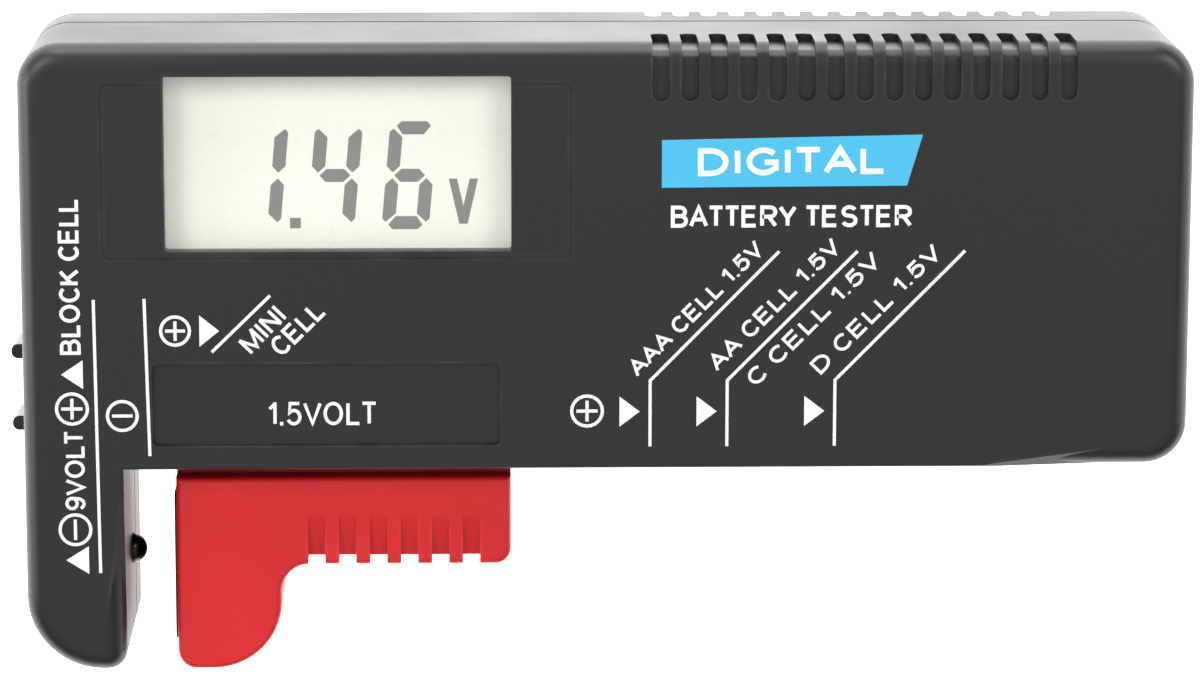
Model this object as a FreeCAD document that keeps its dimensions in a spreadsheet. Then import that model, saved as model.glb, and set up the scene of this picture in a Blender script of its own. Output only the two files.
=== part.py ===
import FreeCAD, Part
import math
import os
import re
import Sketcher

# Universal battery tester: a flat hand-held case with a display, a leg that carries one
# contact, and a spring-loaded slider that clamps a cell against that leg.  The case lies
# on its back.  X runs along its length, Y across it and Z up through the face.  Sizes are
# measured from the middle of the main block's back, and each sub-part's Placement then
# moves it so that the origin is under the middle of the whole object.

Vector = FreeCAD.Vector

SIZES = {
    # case
    "case_long": 110.0,
    "case_tall": 40.4,
    "case_thick": 24.0,
    "split_height": 8.5,
    "wall": 1.8,
    "leg_wide": 9.4,
    "leg_drop": 19.7,
    "corner_round": 4.0,
    "toe_round": 7.2,
    "heel_round": 1.8,
    "front_round": 2.0,
    "back_round": 1.5,
    "crisp_round": 0.4,
    "lip_run": 16.0,
    "lip_sink": 1.5,
    "seam_deep": 0.4,
    "seam_tall": 0.5,
    "frame_shift_x": 0.865,
    "frame_shift_y": 10.1,
    # display window, its bezel line and the label panel under it
    "window_left": -41.4,
    "window_low": 0.7,
    "window_wide": 32.4,
    "window_tall": 16.5,
    "window_round": 0.3,
    "bezel_left": -47.3,
    "bezel_right": -3.3,
    "bezel_low": 0.0,
    "bezel_high": 16.6,
    "bezel_round": 0.8,
    "bezel_line": 0.26,
    "label_left": -42.75,
    "label_low": -17.85,
    "label_wide": 32.65,
    "label_tall": 7.85,
    "label_deep": 0.5,
    "label_round": 0.5,
    # finger grooves along the top edge
    "grip_count": 15,
    "grip_first": 4.97,
    "grip_pitch": 2.716,
    "grip_wide": 1.6,
    "grip_deep": 0.75,
    "grip_face_low": 14.85,
    "grip_side_low": 17.0,
    "grip_back_high": 4.6,
    # slider
    "slider_left": -40.85,
    "slider_long": 31.8,
    "slider_back": 3.0,
    "slider_front": 21.0,
    "slider_high": -21.65,
    "slider_rail_low": -30.2,
    "slider_leg_wide": 9.95,
    "slider_leg_low": -40.4,
    "slider_leg_round": 6.6,
    "slider_toe_round": 1.8,
    "slider_end_round": 1.5,
    "slider_crook_round": 2.7,
    "slider_edge_round": 0.6,
    "slider_travel": 62.0,
    "shoulder_back": 5.5,
    "shoulder_front": 18.5,
    "tooth_count": 6,
    "tooth_first": -27.56,
    "tooth_pitch": 2.948,
    "tooth_wide": 1.62,
    "tooth_deep": 1.3,
    "tooth_high": -25.4,
    "tooth_floor": -29.4,
    "web_back": 8.7,
    "web_front": 11.5,
    "web_inset": 1.85,
    "web_clear": 0.25,
    "head_back": 6.0,
    "head_front": 14.0,
    "head_low": -17.9,
    "head_high": -15.4,
    "lug_thick": 1.2,
    "lug_high": -11.3,
    # electrical contacts
    "contact_thick": 0.4,
    "contact_low": -38.6,
    "contact_high": -24.0,
    "contact_half": 5.0,
    "dome_y": -30.6,
    "middle_height": 12.0,
    "dome_radius": 1.45,
    "dome_reach": 1.4,
    "clip_y": -14.1,
    "clip_spread": 3.5,
    "clip_leaf": 1.4,
    "clip_reach": 1.73,
    "clip_half": 2.6,
    "pad_y": -27.35,
    "pad_radius": 3.0,
    "rail_left": -42.0,
    "rail_right": 50.9,
    "rail_back": 14.4,
    "rail_thick": 0.4,
    "fit": 0.05,
    # return spring
    "spring_y": -12.9,
    "spring_height": 10.1,
    "spring_radius": 1.7,
    "spring_left": -43.2,
    "pin_radius": 0.6,
    # display and board
    "board_left": -44.5,
    "board_right": -7.8,
    "board_low": -15.0,
    "board_high": 17.6,
    "board_back": 15.6,
    "board_thick": 1.6,
    "glass_back": 19.6,
    "glass_thick": 1.5,
    "glass_low": -2.6,
    "glass_high": 17.9,
    "lens_back": 21.2,
    "lens_front": 23.3,
    # screws and their bosses
    "boss_radius": 2.5,
    "screw_radius": 1.1,
    "screw_head_radius": 2.0,
    "screw_head_seat": 3.3,
    "screw_head_thick": 1.6,
    "screw_tip": 14.0,
    # compartment for the meter's own cell
    "bay_left": 2.0,
    "bay_right": 51.6,
    "bay_low": 3.9,
    "bay_high": 14.9,
    "bay_wall": 1.2,
    "bay_floor": 3.2,
    "door_left": 0.0,
    "door_low": 2.5,
    "door_high": 16.2,
    "door_thick": 1.6,
    "door_tongue": 0.8,
    "door_gap": 0.15,
    "cell_radius": 5.2,
    "cell_left": 6.2,
    "cell_right": 50.7,
    "cell_height": 7.35,
    "nub_radius": 1.9,
    "nub_long": 0.9,
    # insulated leads
    "lead_radius": 0.55,
}

SCREW_PLACES = [(-49.8, 14.6), (-50.2, -35.0), (-4.6, 14.6), (49.8, -4.8)]
ALONG = {"XY": Vector(0, 0, 1), "YZ": Vector(1, 0, 0), "XZ": Vector(0, 1, 0)}
TURN = {
    "XY": FreeCAD.Rotation(),
    "YZ": FreeCAD.Rotation(Vector(1, 1, 1), 120),
    "XZ": FreeCAD.Rotation(Vector(1, 0, 0), 90),
}

doc = FreeCAD.newDocument("BatteryTester")
sheet = doc.addObject("Spreadsheet::Sheet", "Sizes")
for row, (alias, number) in enumerate(SIZES.items(), start=1):
    sheet.set(f"A{row}", alias)
    sheet.set(f"B{row}", str(number))
    sheet.setAlias(f"B{row}", alias)
doc.recompute()

nodes = []


# ---------------------------------------------------------------- expressions and sketches

def cells(text):
    """Turn the plain words of an expression into cells of the sheet."""
    return re.sub(r"(?<![\w.])[a-z][a-z_]+", lambda word: "Sizes." + word.group(), str(text))


def size(text):
    """The number that an expression gives now."""
    return float(sheet.evalExpression(cells(text)))


def drive(item, field, text):
    item.setExpression(field, cells(text))


def place(item, at):
    for axis, text in zip("xyz", at):
        drive(item, "Placement.Base." + axis, text)
    return item


def draw(sketch, sides):
    """Draw a closed outline of upright and level sides.

    Each side is (axis, place, corner): "x" is a side at that X, "y" one at that Y, and
    corner is the radius where it meets the next side.
    """
    count = len(sides)
    spots = [size(spot) for _, spot, _ in sides]
    radii = [size(corner) for _, _, corner in sides]
    corners = []
    for i in range(count):
        after = (i + 1) % count
        pair = (spots[i], spots[after]) if sides[i][0] == "x" else (spots[after], spots[i])
        corners.append(Vector(pair[0], pair[1], 0))
    ways = [(corners[i] - corners[i - 1]).normalize() for i in range(count)]
    lines = []
    for i in range(count):
        start = corners[i - 1] + ways[i] * radii[i - 1]
        end = corners[i] - ways[i] * radii[i]
        line = sketch.addGeometry(Part.LineSegment(start, end), False)
        level = sides[i][0] == "y"
        sketch.addConstraint(Sketcher.Constraint("Horizontal" if level else "Vertical", line))
        kind = "DistanceY" if level else "DistanceX"
        held = sketch.addConstraint(Sketcher.Constraint(kind, -1, 1, line, 1, spots[i]))
        drive(sketch, f"Constraints[{held}]", sides[i][1])
        lines.append(line)
    for i in range(count):
        after = (i + 1) % count
        if radii[i] == 0:
            sketch.addConstraint(Sketcher.Constraint("Coincident", lines[i], 2, lines[after], 1))
            continue
        start = corners[i] - ways[i] * radii[i]
        end = corners[i] + ways[after] * radii[i]
        centre = start + ways[after] * radii[i]
        middle = centre + (corners[i] - centre) / math.sqrt(2)
        left_turn = ways[i].cross(ways[after]).z > 0
        run = (start, middle, end) if left_turn else (end, middle, start)
        arc = sketch.addGeometry(Part.Arc(*run), False)
        first, last = (1, 2) if left_turn else (2, 1)
        across = ("Vertical", "Horizontal") if sides[i][0] == "y" else ("Horizontal", "Vertical")
        sketch.addConstraint([
            Sketcher.Constraint("Coincident", lines[i], 2, arc, first),
            Sketcher.Constraint("Coincident", arc, last, lines[after], 1),
            Sketcher.Constraint(across[0], arc, 3, arc, first),
            Sketcher.Constraint(across[1], arc, 3, arc, last),
        ])
        held = sketch.addConstraint(Sketcher.Constraint("Radius", arc, radii[i]))
        drive(sketch, f"Constraints[{held}]", sides[i][2])
    return sketch


def rectangle(left, low, right, high, corner="0"):
    return [("x", left, corner), ("y", high, corner), ("x", right, corner), ("y", low, corner)]


# ------------------------------------------------------------------------- solid builders

def prism(name, sides, low, high, plane="XY"):
    """A straight solid with that outline, from low to high along the plane's normal."""
    sketch = doc.addObject("Sketcher::SketchObject", name + "_outline")
    sketch.Placement = FreeCAD.Placement(Vector(), TURN[plane])
    axis = {"XY": "z", "YZ": "x", "XZ": "y"}[plane]
    drive(sketch, "Placement.Base." + axis, low)
    draw(sketch, sides)
    solid = doc.addObject("Part::Extrusion", name)
    solid.Base = sketch
    solid.DirMode = "Custom"
    solid.Dir = ALONG[plane]
    solid.Solid = True
    drive(solid, "LengthFwd", f"({high}) - ({low})")
    return solid


def block(name, low_corner, high_corner):
    solid = doc.addObject("Part::Box", name)
    for field, low, high in zip(("Length", "Width", "Height"), low_corner, high_corner):
        drive(solid, field, f"({high}) - ({low})")
    return place(solid, low_corner)


def rod(name, radius, long, at, axis="z"):
    """A cylinder that starts at that point and runs along +X, +Y or +Z."""
    solid = doc.addObject("Part::Cylinder", name)
    turn = {"z": FreeCAD.Rotation(), "x": FreeCAD.Rotation(Vector(0, 1, 0), 90),
            "y": FreeCAD.Rotation(Vector(1, 0, 0), -90)}[axis]
    solid.Placement = FreeCAD.Placement(Vector(), turn)
    drive(solid, "Radius", radius)
    drive(solid, "Height", long)
    return place(solid, at)


def join(name, pieces):
    made = doc.addObject("Part::MultiFuse", name)
    made.Shapes = pieces
    return made


def cut(name, base, tools):
    made = doc.addObject("Part::Cut", name)
    made.Base = base
    made.Tool = tools[0] if len(tools) == 1 else join(name + "_tools", tools)
    return made


def common(name, first, second):
    made = doc.addObject("Part::Common", name)
    made.Base = first
    made.Tool = second
    return made


def rounded(name, base, radius, points):
    """Fillet the edges that pass nearest the points, and the edges that run on from them."""
    doc.recompute()
    edges = base.Shape.Edges
    chosen = set()
    for point in points:
        spot = Part.Vertex(*(size(text) for text in point))
        chosen.add(min(range(len(edges)), key=lambda i: edges[i].distToShape(spot)[0]) + 1)
    made = doc.addObject("Part::Fillet", name)
    made.Base = base
    made.Edges = [(edge, size(radius), size(radius)) for edge in sorted(chosen)]
    return made


def body(name):
    return doc.addObject("PartDesign::Body", name)


def body_sketch(owner, name, plane, offset):
    sketch = owner.newObject("Sketcher::SketchObject", name)
    wanted = plane + "_Plane"
    support = next(item for item in owner.Origin.OriginFeatures if item.Role == wanted)
    sketch.AttachmentSupport = [(support, "")]
    sketch.MapMode = "FlatFace"
    drive(sketch, "AttachmentOffset.Base.z", offset)
    return sketch


def pad(owner, name, sides, low, high, plane="XY"):
    """Add material in a body, from low to high along the axis across the plane."""
    start = f"-({high})" if plane == "XZ" else low
    sketch = draw(body_sketch(owner, name + "_sketch", plane, start), sides)
    made = owner.newObject("PartDesign::Pad", name)
    made.Profile = sketch
    drive(made, "Length", f"({high}) - ({low})")
    return made


def pocket(owner, name, sides, low, high):
    """Remove material in a body between two heights."""
    sketch = draw(body_sketch(owner, name + "_sketch", "XY", high), sides)
    doc.recompute()
    before = owner.Shape.Volume
    made = owner.newObject("PartDesign::Pocket", name)
    made.Profile = sketch
    drive(made, "Length", f"({high}) - ({low})")
    doc.recompute()
    if made.Shape.Volume >= before:
        raise RuntimeError(f"{name} cuts nothing")
    return made


def pattern(owner, name, originals, count, pitch):
    """Repeat features of a body along X, which works once it is the body's tip."""
    made = owner.newObject("PartDesign::LinearPattern", name)
    made.Originals = originals
    axis = next(item for item in owner.Origin.OriginFeatures if item.Role == "X_Axis")
    made.Direction = (axis, [""])
    drive(made, "Length", f"{pitch} * ({count} - 1)")
    drive(made, "Occurrences", count)
    owner.Tip = made
    return made


def node(item, label):
    """Name a finished sub-part and move it into the object's frame."""
    item.Label = label
    held = dict(item.ExpressionEngine)
    for axis, shift in (("x", "frame_shift_x"), ("y", "frame_shift_y")):
        field = "Placement.Base." + axis
        drive(item, field, f"{held.get(field, held.get('.' + field, '0'))} + {shift}")
    nodes.append(item)


# -------------------------------------------------------------------------- case envelope

def case_outline(inset):
    """The L-shaped outline of the case, drawn in by inset."""
    def eased(corner):
        return f"{corner} - ({inset})"
    left = f"-case_long / 2 + ({inset})"
    right = f"case_long / 2 - ({inset})"
    high = f"case_tall / 2 - ({inset})"
    low = f"-case_tall / 2 + ({inset})"
    leg_right = f"-case_long / 2 + leg_wide - ({inset})"
    leg_low = f"-case_tall / 2 - leg_drop + ({inset})"
    heel = "0" if size(inset) >= size("heel_round") else eased("heel_round")
    return [
        ("x", left, eased("corner_round")),
        ("y", high, eased("corner_round")),
        ("x", right, eased("corner_round")),
        ("y", low, "0"),
        ("x", leg_right, heel),
        ("y", leg_low, eased("toe_round")),
    ]


def lip_taper(name, start, along, outward):
    """A cutter that starts on the face's edge and sinks slowly in, so that a crisp lip fades
    into the soft edge."""
    half = size("lip_run") * 1.5
    tilt = along * (size("lip_sink") / size("lip_run")) + (outward + Vector(0, 0, 1)).normalize()
    corner = Vector(size(start[0]), size(start[1]), size("case_thick"))
    cutter = doc.addObject("Part::Box", name)
    for field, text in (("Length", "lip_run * 3"), ("Width", "lip_run * 3"), ("Height", "front_round * 3")):
        drive(cutter, field, text)
    turned = FreeCAD.Placement(corner, FreeCAD.Rotation(Vector(0, 0, 1), tilt))
    cutter.Placement = turned.multiply(FreeCAD.Placement(Vector(-half, -half, 0), FreeCAD.Rotation()))
    return cutter


def case_envelope():
    """The whole case as one solid: soft edges all round, with a crisp lip on the face above
    the slider and beside the leg."""
    blank = prism("case_blank", case_outline("0"), "0", "case_thick")
    top_edge = ("0", "case_tall / 2", "case_thick")
    inner_edge = ("-case_long / 2 + leg_wide", "-case_tall / 2 - 5", "case_thick")
    low_edge = ("0", "-case_tall / 2", "case_thick")
    front = rounded("case_front_round", blank, "front_round", [top_edge, inner_edge])
    soft = rounded("case_soft", front, "back_round",
                   [("0", "case_tall / 2", "0"), ("-case_long / 2 + leg_wide", "-case_tall / 2 - 5", "0")])
    crisp = rounded("case_crisp", blank, "crisp_round", [low_edge, inner_edge])
    low_band = block("lip_low", ("-case_long / 2 + leg_wide - 3", "-case_tall / 2 - 1", "case_thick / 2"),
                     ("case_long / 2 - corner_round - 1", "-case_tall / 2 + 3", "case_thick + 1"))
    leg_band = block("lip_leg",
                     ("-case_long / 2 + leg_wide - 3", "-case_tall / 2 - leg_drop + 3", "case_thick / 2"),
                     ("-case_long / 2 + leg_wide + 1", "-case_tall / 2 + 3", "case_thick + 1"))
    strips = join("lip_strips", [
        cut("lip_low_faded", low_band, [
            lip_taper("lip_low_end", ("case_long / 2 - corner_round - 1 - lip_run", "-case_tall / 2"),
                      Vector(1, 0, 0), Vector(0, -1, 0))]),
        cut("lip_leg_faded", leg_band, [
            lip_taper("lip_leg_end", ("-case_long / 2 + leg_wide", "-case_tall / 2 - leg_drop + 3 + lip_run"),
                      Vector(0, -1, 0), Vector(1, 0, 0))]),
    ])
    return join("case_envelope", [soft, common("case_lip", crisp, strips)])


def half_of_case(name, low, high):
    slab = block(name + "_slab", ("-case_long", "-case_long", low), ("case_long", "case_long", high))
    return common(name + "_half", envelope, slab)


def finger_grooves(name, front):
    """Cutters for the row of finger grooves that wraps the top edge of one shell."""
    cutter = body(name)
    cutter.AllowCompound = True
    first = "grip_first - grip_wide / 2"
    last = "grip_first + grip_wide / 2"
    floor = "case_tall / 2 - grip_deep"
    beyond = "case_tall / 2 + 1"
    if front:
        bed = "case_thick - grip_deep"
        profile = [
            ("x", "grip_face_low + grip_wide / 2", "0"),
            ("y", bed, "front_round - grip_deep"),
            ("x", floor, "0"),
            ("y", "grip_side_low + grip_wide / 2", "0"),
            ("x", beyond, "0"),
            ("y", "case_thick + 1", "0"),
        ]
        end_y, end_low, end_high = "grip_face_low + grip_wide / 2", bed, "case_thick + 1"
        side_height = "grip_side_low + grip_wide / 2"
    else:
        profile = [
            ("x", "case_tall / 2 - back_round - 0.3", "0"),
            ("y", "grip_deep", "back_round - grip_deep"),
            ("x", floor, "0"),
            ("y", "grip_back_high - grip_wide / 2", "0"),
            ("x", beyond, "0"),
            ("y", "-1", "0"),
        ]
        end_y, end_low, end_high = "case_tall / 2 - back_round - 0.3", "-1", "grip_deep"
        side_height = "grip_back_high - grip_wide / 2"
    wrap = pad(cutter, name + "_wrap", profile, first, last, "YZ")
    half = "grip_wide / 2"
    ends = rectangle(first, f"{end_y} - {half}", last, f"{end_y} + {half}", f"{half} - 0.001")
    face_end = pad(cutter, name + "_face_end", ends, end_low, end_high)
    ends = rectangle(first, f"{side_height} - {half}", last, f"{side_height} + {half}", f"{half} - 0.001")
    side_end = pad(cutter, name + "_side_end", ends, floor, beyond, "XZ")
    pattern(cutter, name + "_row", [wrap, face_end, side_end], "grip_count", "grip_pitch")
    return cutter


# --------------------------------------------------------------------------------- shells

def front_shell():
    half = half_of_case("front_shell", "split_height", "case_thick")
    window_right = "window_left + window_wide"
    window_high = "window_low + window_tall"
    line_floor = "case_thick - bezel_line / 2"
    bezel = rectangle("bezel_left", "bezel_low", "bezel_right", "bezel_high", "bezel_round")
    island = rectangle("bezel_left + bezel_line", "bezel_low + bezel_line", "bezel_right - bezel_line",
                       "bezel_high - bezel_line", "bezel_round - bezel_line")
    tools = [
        prism("front_cavity", case_outline("wall"), "0", "case_thick - wall"),
        prism("window_hole", rectangle("window_left", "window_low", window_right, window_high,
                                       "window_round"), "split_height", "case_thick + 1"),
        prism("label_panel", rectangle("label_left", "label_low", "label_left + label_wide",
                                       "label_low + label_tall", "label_round"),
              "case_thick - label_deep", "case_thick + 1"),
        cut("bezel_groove", prism("bezel_plate", bezel, line_floor, "case_thick + 1"),
            [prism("bezel_island", island, line_floor, "case_thick + 1")]),
        finger_grooves("front_grip", True),
        block("slider_slot",
              ("slider_left + web_inset - web_clear", "-case_tall / 2 - 1", "split_height - 1"),
              ("slider_left + slider_long - web_inset + slider_travel + web_clear",
               "-case_tall / 2 + wall + 0.5", "web_front + 0.2")),
        *wall_openings("front"),
    ]
    shell = cut("front_skin", half, tools)
    posts = []
    for i, (x, y) in enumerate(SCREW_PLACES):
        post = rod(f"front_post_{i}", "boss_radius", "case_thick - wall - split_height",
                   (x, y, "split_height"))
        hole = rod(f"front_pilot_{i}", "screw_radius + fit", "screw_tip + 1 - split_height",
                   (x, y, "split_height"))
        posts.append(cut(f"front_boss_{i}", post, [hole]))
    for i in range(4):
        x = f"{-33 + 26 * i}"
        posts.append(block(f"rail_rib_{i}", (x, "-case_tall / 2 + wall", "rail_back + rail_thick"),
                           (f"{x} + 1.5", "head_high", "case_thick - wall")))
    node(join("front_shell_solid", [shell, *posts]), "front_shell")


def wall_openings(name):
    """Holes through the walls for the leg's dome and the two nine-volt contacts."""
    left = "-case_long / 2 - 1"
    inside = "-case_long / 2 + wall + 0.5"
    leaf_holes = [
        block(f"{name}_leaf_hole_{i}",
              (left, f"clip_y + ({side}) * clip_spread - clip_leaf / 2 - 0.15",
               "middle_height - clip_half - 0.15"),
              (inside, f"clip_y + ({side}) * clip_spread + clip_leaf / 2 + 0.15",
               "middle_height + clip_half + 0.15"))
        for i, side in enumerate((-1, 1))
    ]
    return leaf_holes + [
        rod(name + "_pad_hole", "pad_radius + fit", "wall + 2", (left, "pad_y", "middle_height"), "x"),
        rod(name + "_dome_hole", "dome_radius + fit", "wall + 2",
            ("-case_long / 2 + leg_wide - wall - 1", "dome_y", "middle_height"), "x"),
    ]


def rear_shell():
    half = half_of_case("rear_shell", "0", "split_height")
    seam = cut("seam_band", prism("seam_outer", case_outline("-1"), "split_height - seam_tall",
                                  "split_height + 1"),
               [prism("seam_inner", case_outline("seam_deep"), "split_height - seam_tall",
                      "split_height + 1")])
    shell = cut("rear_skin", half, [
        prism("rear_cavity", case_outline("wall"), "wall", "case_thick"),
        seam,
        finger_grooves("rear_grip", False),
    ])
    inner_right = "case_long / 2 - wall"
    solids = [
        block("bay_deck", ("bay_left - bay_wall - 2.5", "door_low - 2.2", "wall"),
              (inner_right, "door_high + 2.0", "bay_floor")),
        block("bay_box", ("bay_left - bay_wall", "bay_low - bay_wall", "wall"),
              ("bay_right + bay_wall", "bay_high + bay_wall", "split_height - 0.2")),
        block("guide_rib", ("rail_left", "head_high + 0.3", "wall"),
              (inner_right, "head_high + 1.3", "split_height - 0.4")),
    ]
    bores = [
        block("bay_space", ("bay_left", "bay_low", "-1"), ("bay_right", "bay_high", "split_height + 1")),
        block("door_seat", ("door_left - door_gap", "door_low - door_gap", "-1"),
              ("case_long", "door_high + door_gap", "door_thick + door_gap")),
        block("door_track", ("door_left - door_gap", "door_low - door_tongue - door_gap",
                             "door_thick / 2 - door_gap"),
              ("case_long", "door_high + door_tongue + door_gap", "door_thick + door_gap")),
    ]
    for i, (x, y) in enumerate(SCREW_PLACES):
        solids.append(rod(f"rear_post_{i}", "boss_radius + 0.5", "split_height - wall", (x, y, "wall")))
        bores.append(rod(f"rear_bore_{i}", "screw_radius + 0.1", "case_thick", (x, y, "-1")))
        bores.append(rod(f"rear_head_{i}", "screw_head_radius + 0.2", "screw_head_seat + 1", (x, y, "-1")))
    bores.append(rod("pin_hole", "pin_radius + fit", "split_height", ("spring_left - 1", "spring_y", "wall + 1")))
    solids.append(rod("pin_post", "pin_radius * 3", "split_height - 1 - wall",
                      ("spring_left - 1", "spring_y", "wall")))
    whole = join("rear_solid", [shell, *solids])
    node(cut("rear_shell_solid", whole, bores), "rear_shell")


def battery_door():
    """The sliding cover of the meter's own cell, flush with the back of the case."""
    plate = common("door_plate", envelope,
                   block("door_slab", ("door_left", "door_low", "0"),
                         ("case_long", "door_high", "door_thick")))
    tongue = block("door_tongues", ("door_left", "door_low - door_tongue", "door_thick / 2"),
                   ("case_long / 2 - corner_round", "door_high + door_tongue", "door_thick"))
    thumb = prism("door_thumb", rectangle("case_long / 2 - 13", "door_low + 3", "case_long / 2 - 9.5",
                                          "door_high - 3", "1.6"), "-1", "0.6")
    node(cut("door_solid", join("door_whole", [plate, tongue]), [thumb]), "battery_door")


# ------------------------------------------------------------------------ display and board

def window_lens():
    lens = body("lens_body")
    window_right = "window_left + window_wide"
    window_high = "window_low + window_tall"
    pad(lens, "lens_flange", rectangle("window_left - 1.4", "window_low - 1.4", f"{window_right} + 1.4",
                                       "case_tall / 2 - wall - 0.3"), "lens_back", "case_thick - wall")
    pad(lens, "lens_face", rectangle("window_left + fit", "window_low + fit", f"{window_right} - fit",
                                     f"{window_high} - fit", "window_round"),
        "case_thick - wall", "lens_front")
    node(lens, "window_lens")


def display():
    glass_left, glass_right = "window_left - 1.8", "window_left + window_wide + 1.4"
    panel = body("lcd_body")
    pad(panel, "lcd_glass", rectangle(glass_left, "glass_low", glass_right, "glass_high"),
        "glass_back", "glass_back + glass_thick")
    node(panel, "lcd_panel")

    board_top = "board_back + board_thick"
    frame = body("lcd_frame_body")
    pad(frame, "lcd_frame_rim", rectangle(glass_left, "glass_low + 2.6", glass_right, "glass_high"),
        board_top, "glass_back")
    pocket(frame, "lcd_frame_opening", rectangle("window_left - 0.4", "window_low + 0.6",
                                                 "window_left + window_wide + 0.2", "glass_high - 1.0"),
           board_top, "glass_back")
    node(frame, "lcd_frame")

    strip = body("zebra_body")
    pad(strip, "zebra_bar", rectangle("window_left + 1", "glass_low + 0.4", "window_left + window_wide - 1",
                                      "glass_low + 2.4"), board_top, "glass_back")
    node(strip, "zebra_strip")


def main_board():
    board = body("board_body")
    pad(board, "board_plate", rectangle("board_left", "board_low", "board_right", "board_high", "1.0"),
        "board_back", "board_back + board_thick")
    node(board, "main_board")


def parts_on_board():
    """The components under the board, which all hang from its lower face."""
    chip = body("chip_body")
    pad(chip, "chip_case", rectangle("-30", "-2", "-20", "8", "0.4"), "board_back - 1.6", "board_back")
    node(chip, "meter_chip")

    resistors = [block(f"resistor_{i}", (f"{-41 + 3.2 * i}", "-9.4", "board_back - 0.6"),
                       (f"{-39.4 + 3.2 * i}", "-6.2", "board_back")) for i in range(6)]
    node(join("resistor_group", resistors), "board_resistors")

    cans = [rod(f"capacitor_{i}", "2.0", "5.0", (f"{-38 + 4.6 * i}", "12.8", "board_back - 5"))
            for i in range(2)]
    node(join("capacitor_group", cans), "board_capacitors")

    trimmer = body("trimmer_body")
    pad(trimmer, "trimmer_case", rectangle("-16.5", "3.5", "-11.5", "8.5", "0.5"), "board_back - 3", "board_back")
    pocket(trimmer, "trimmer_slot", rectangle("-15.6", "5.7", "-12.4", "6.3"), "board_back - 3", "board_back - 2.4")
    node(trimmer, "calibration_trimmer")


def screws():
    """The four self-tapping screws that close the case."""
    def screw(name, x, y, seat, tip, radius, head_radius, head_thick):
        head = rod(name + "_head", head_radius, head_thick, (x, y, f"{seat} - {head_thick}"))
        shank = rod(name + "_shank", radius, f"{tip} - ({seat})", (x, y, seat))
        cross = [block(f"{name}_slot_{i}", (f"{x} - {wide}", f"{y} - {tall}", f"{seat} - {head_thick} - 1"),
                       (f"{x} + {wide}", f"{y} + {tall}", f"{seat} - {head_thick} + 0.7"))
                 for i, (wide, tall) in enumerate(((1.2, 0.25), (0.25, 1.2)))]
        return cut(name, join(name + "_blank", [head, shank]), cross)

    closing = [screw(f"case_screw_{i}", x, y, "screw_head_seat", "screw_tip", "screw_radius",
                     "screw_head_radius", "screw_head_thick") for i, (x, y) in enumerate(SCREW_PLACES)]
    node(join("case_screw_group", closing), "case_screws")


# --------------------------------------------------------------------------- slider and spring

def tooth_ramp(name, left, deep, skin, beyond):
    """A cutter for one thumb groove: it starts at the skin and gets deeper towards the grip's edge."""
    ramp = doc.addObject("Part::Wedge", name)
    near, far = (deep, beyond) if size(deep) < size(beyond) else (beyond, deep)
    near_end, far_end = (skin, beyond) if size(skin) < size(beyond) else (beyond, skin)
    for field, text in (("Xmin", left), ("X2min", left), ("Xmax", f"{left} + tooth_wide"),
                        ("X2max", f"{left} + tooth_wide"), ("Ymin", "slider_rail_low - 1"),
                        ("Ymax", "tooth_high"), ("Zmin", near), ("Zmax", far), ("Z2min", near_end),
                        ("Z2max", far_end)):
        drive(ramp, field, text)
    return ramp


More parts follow.
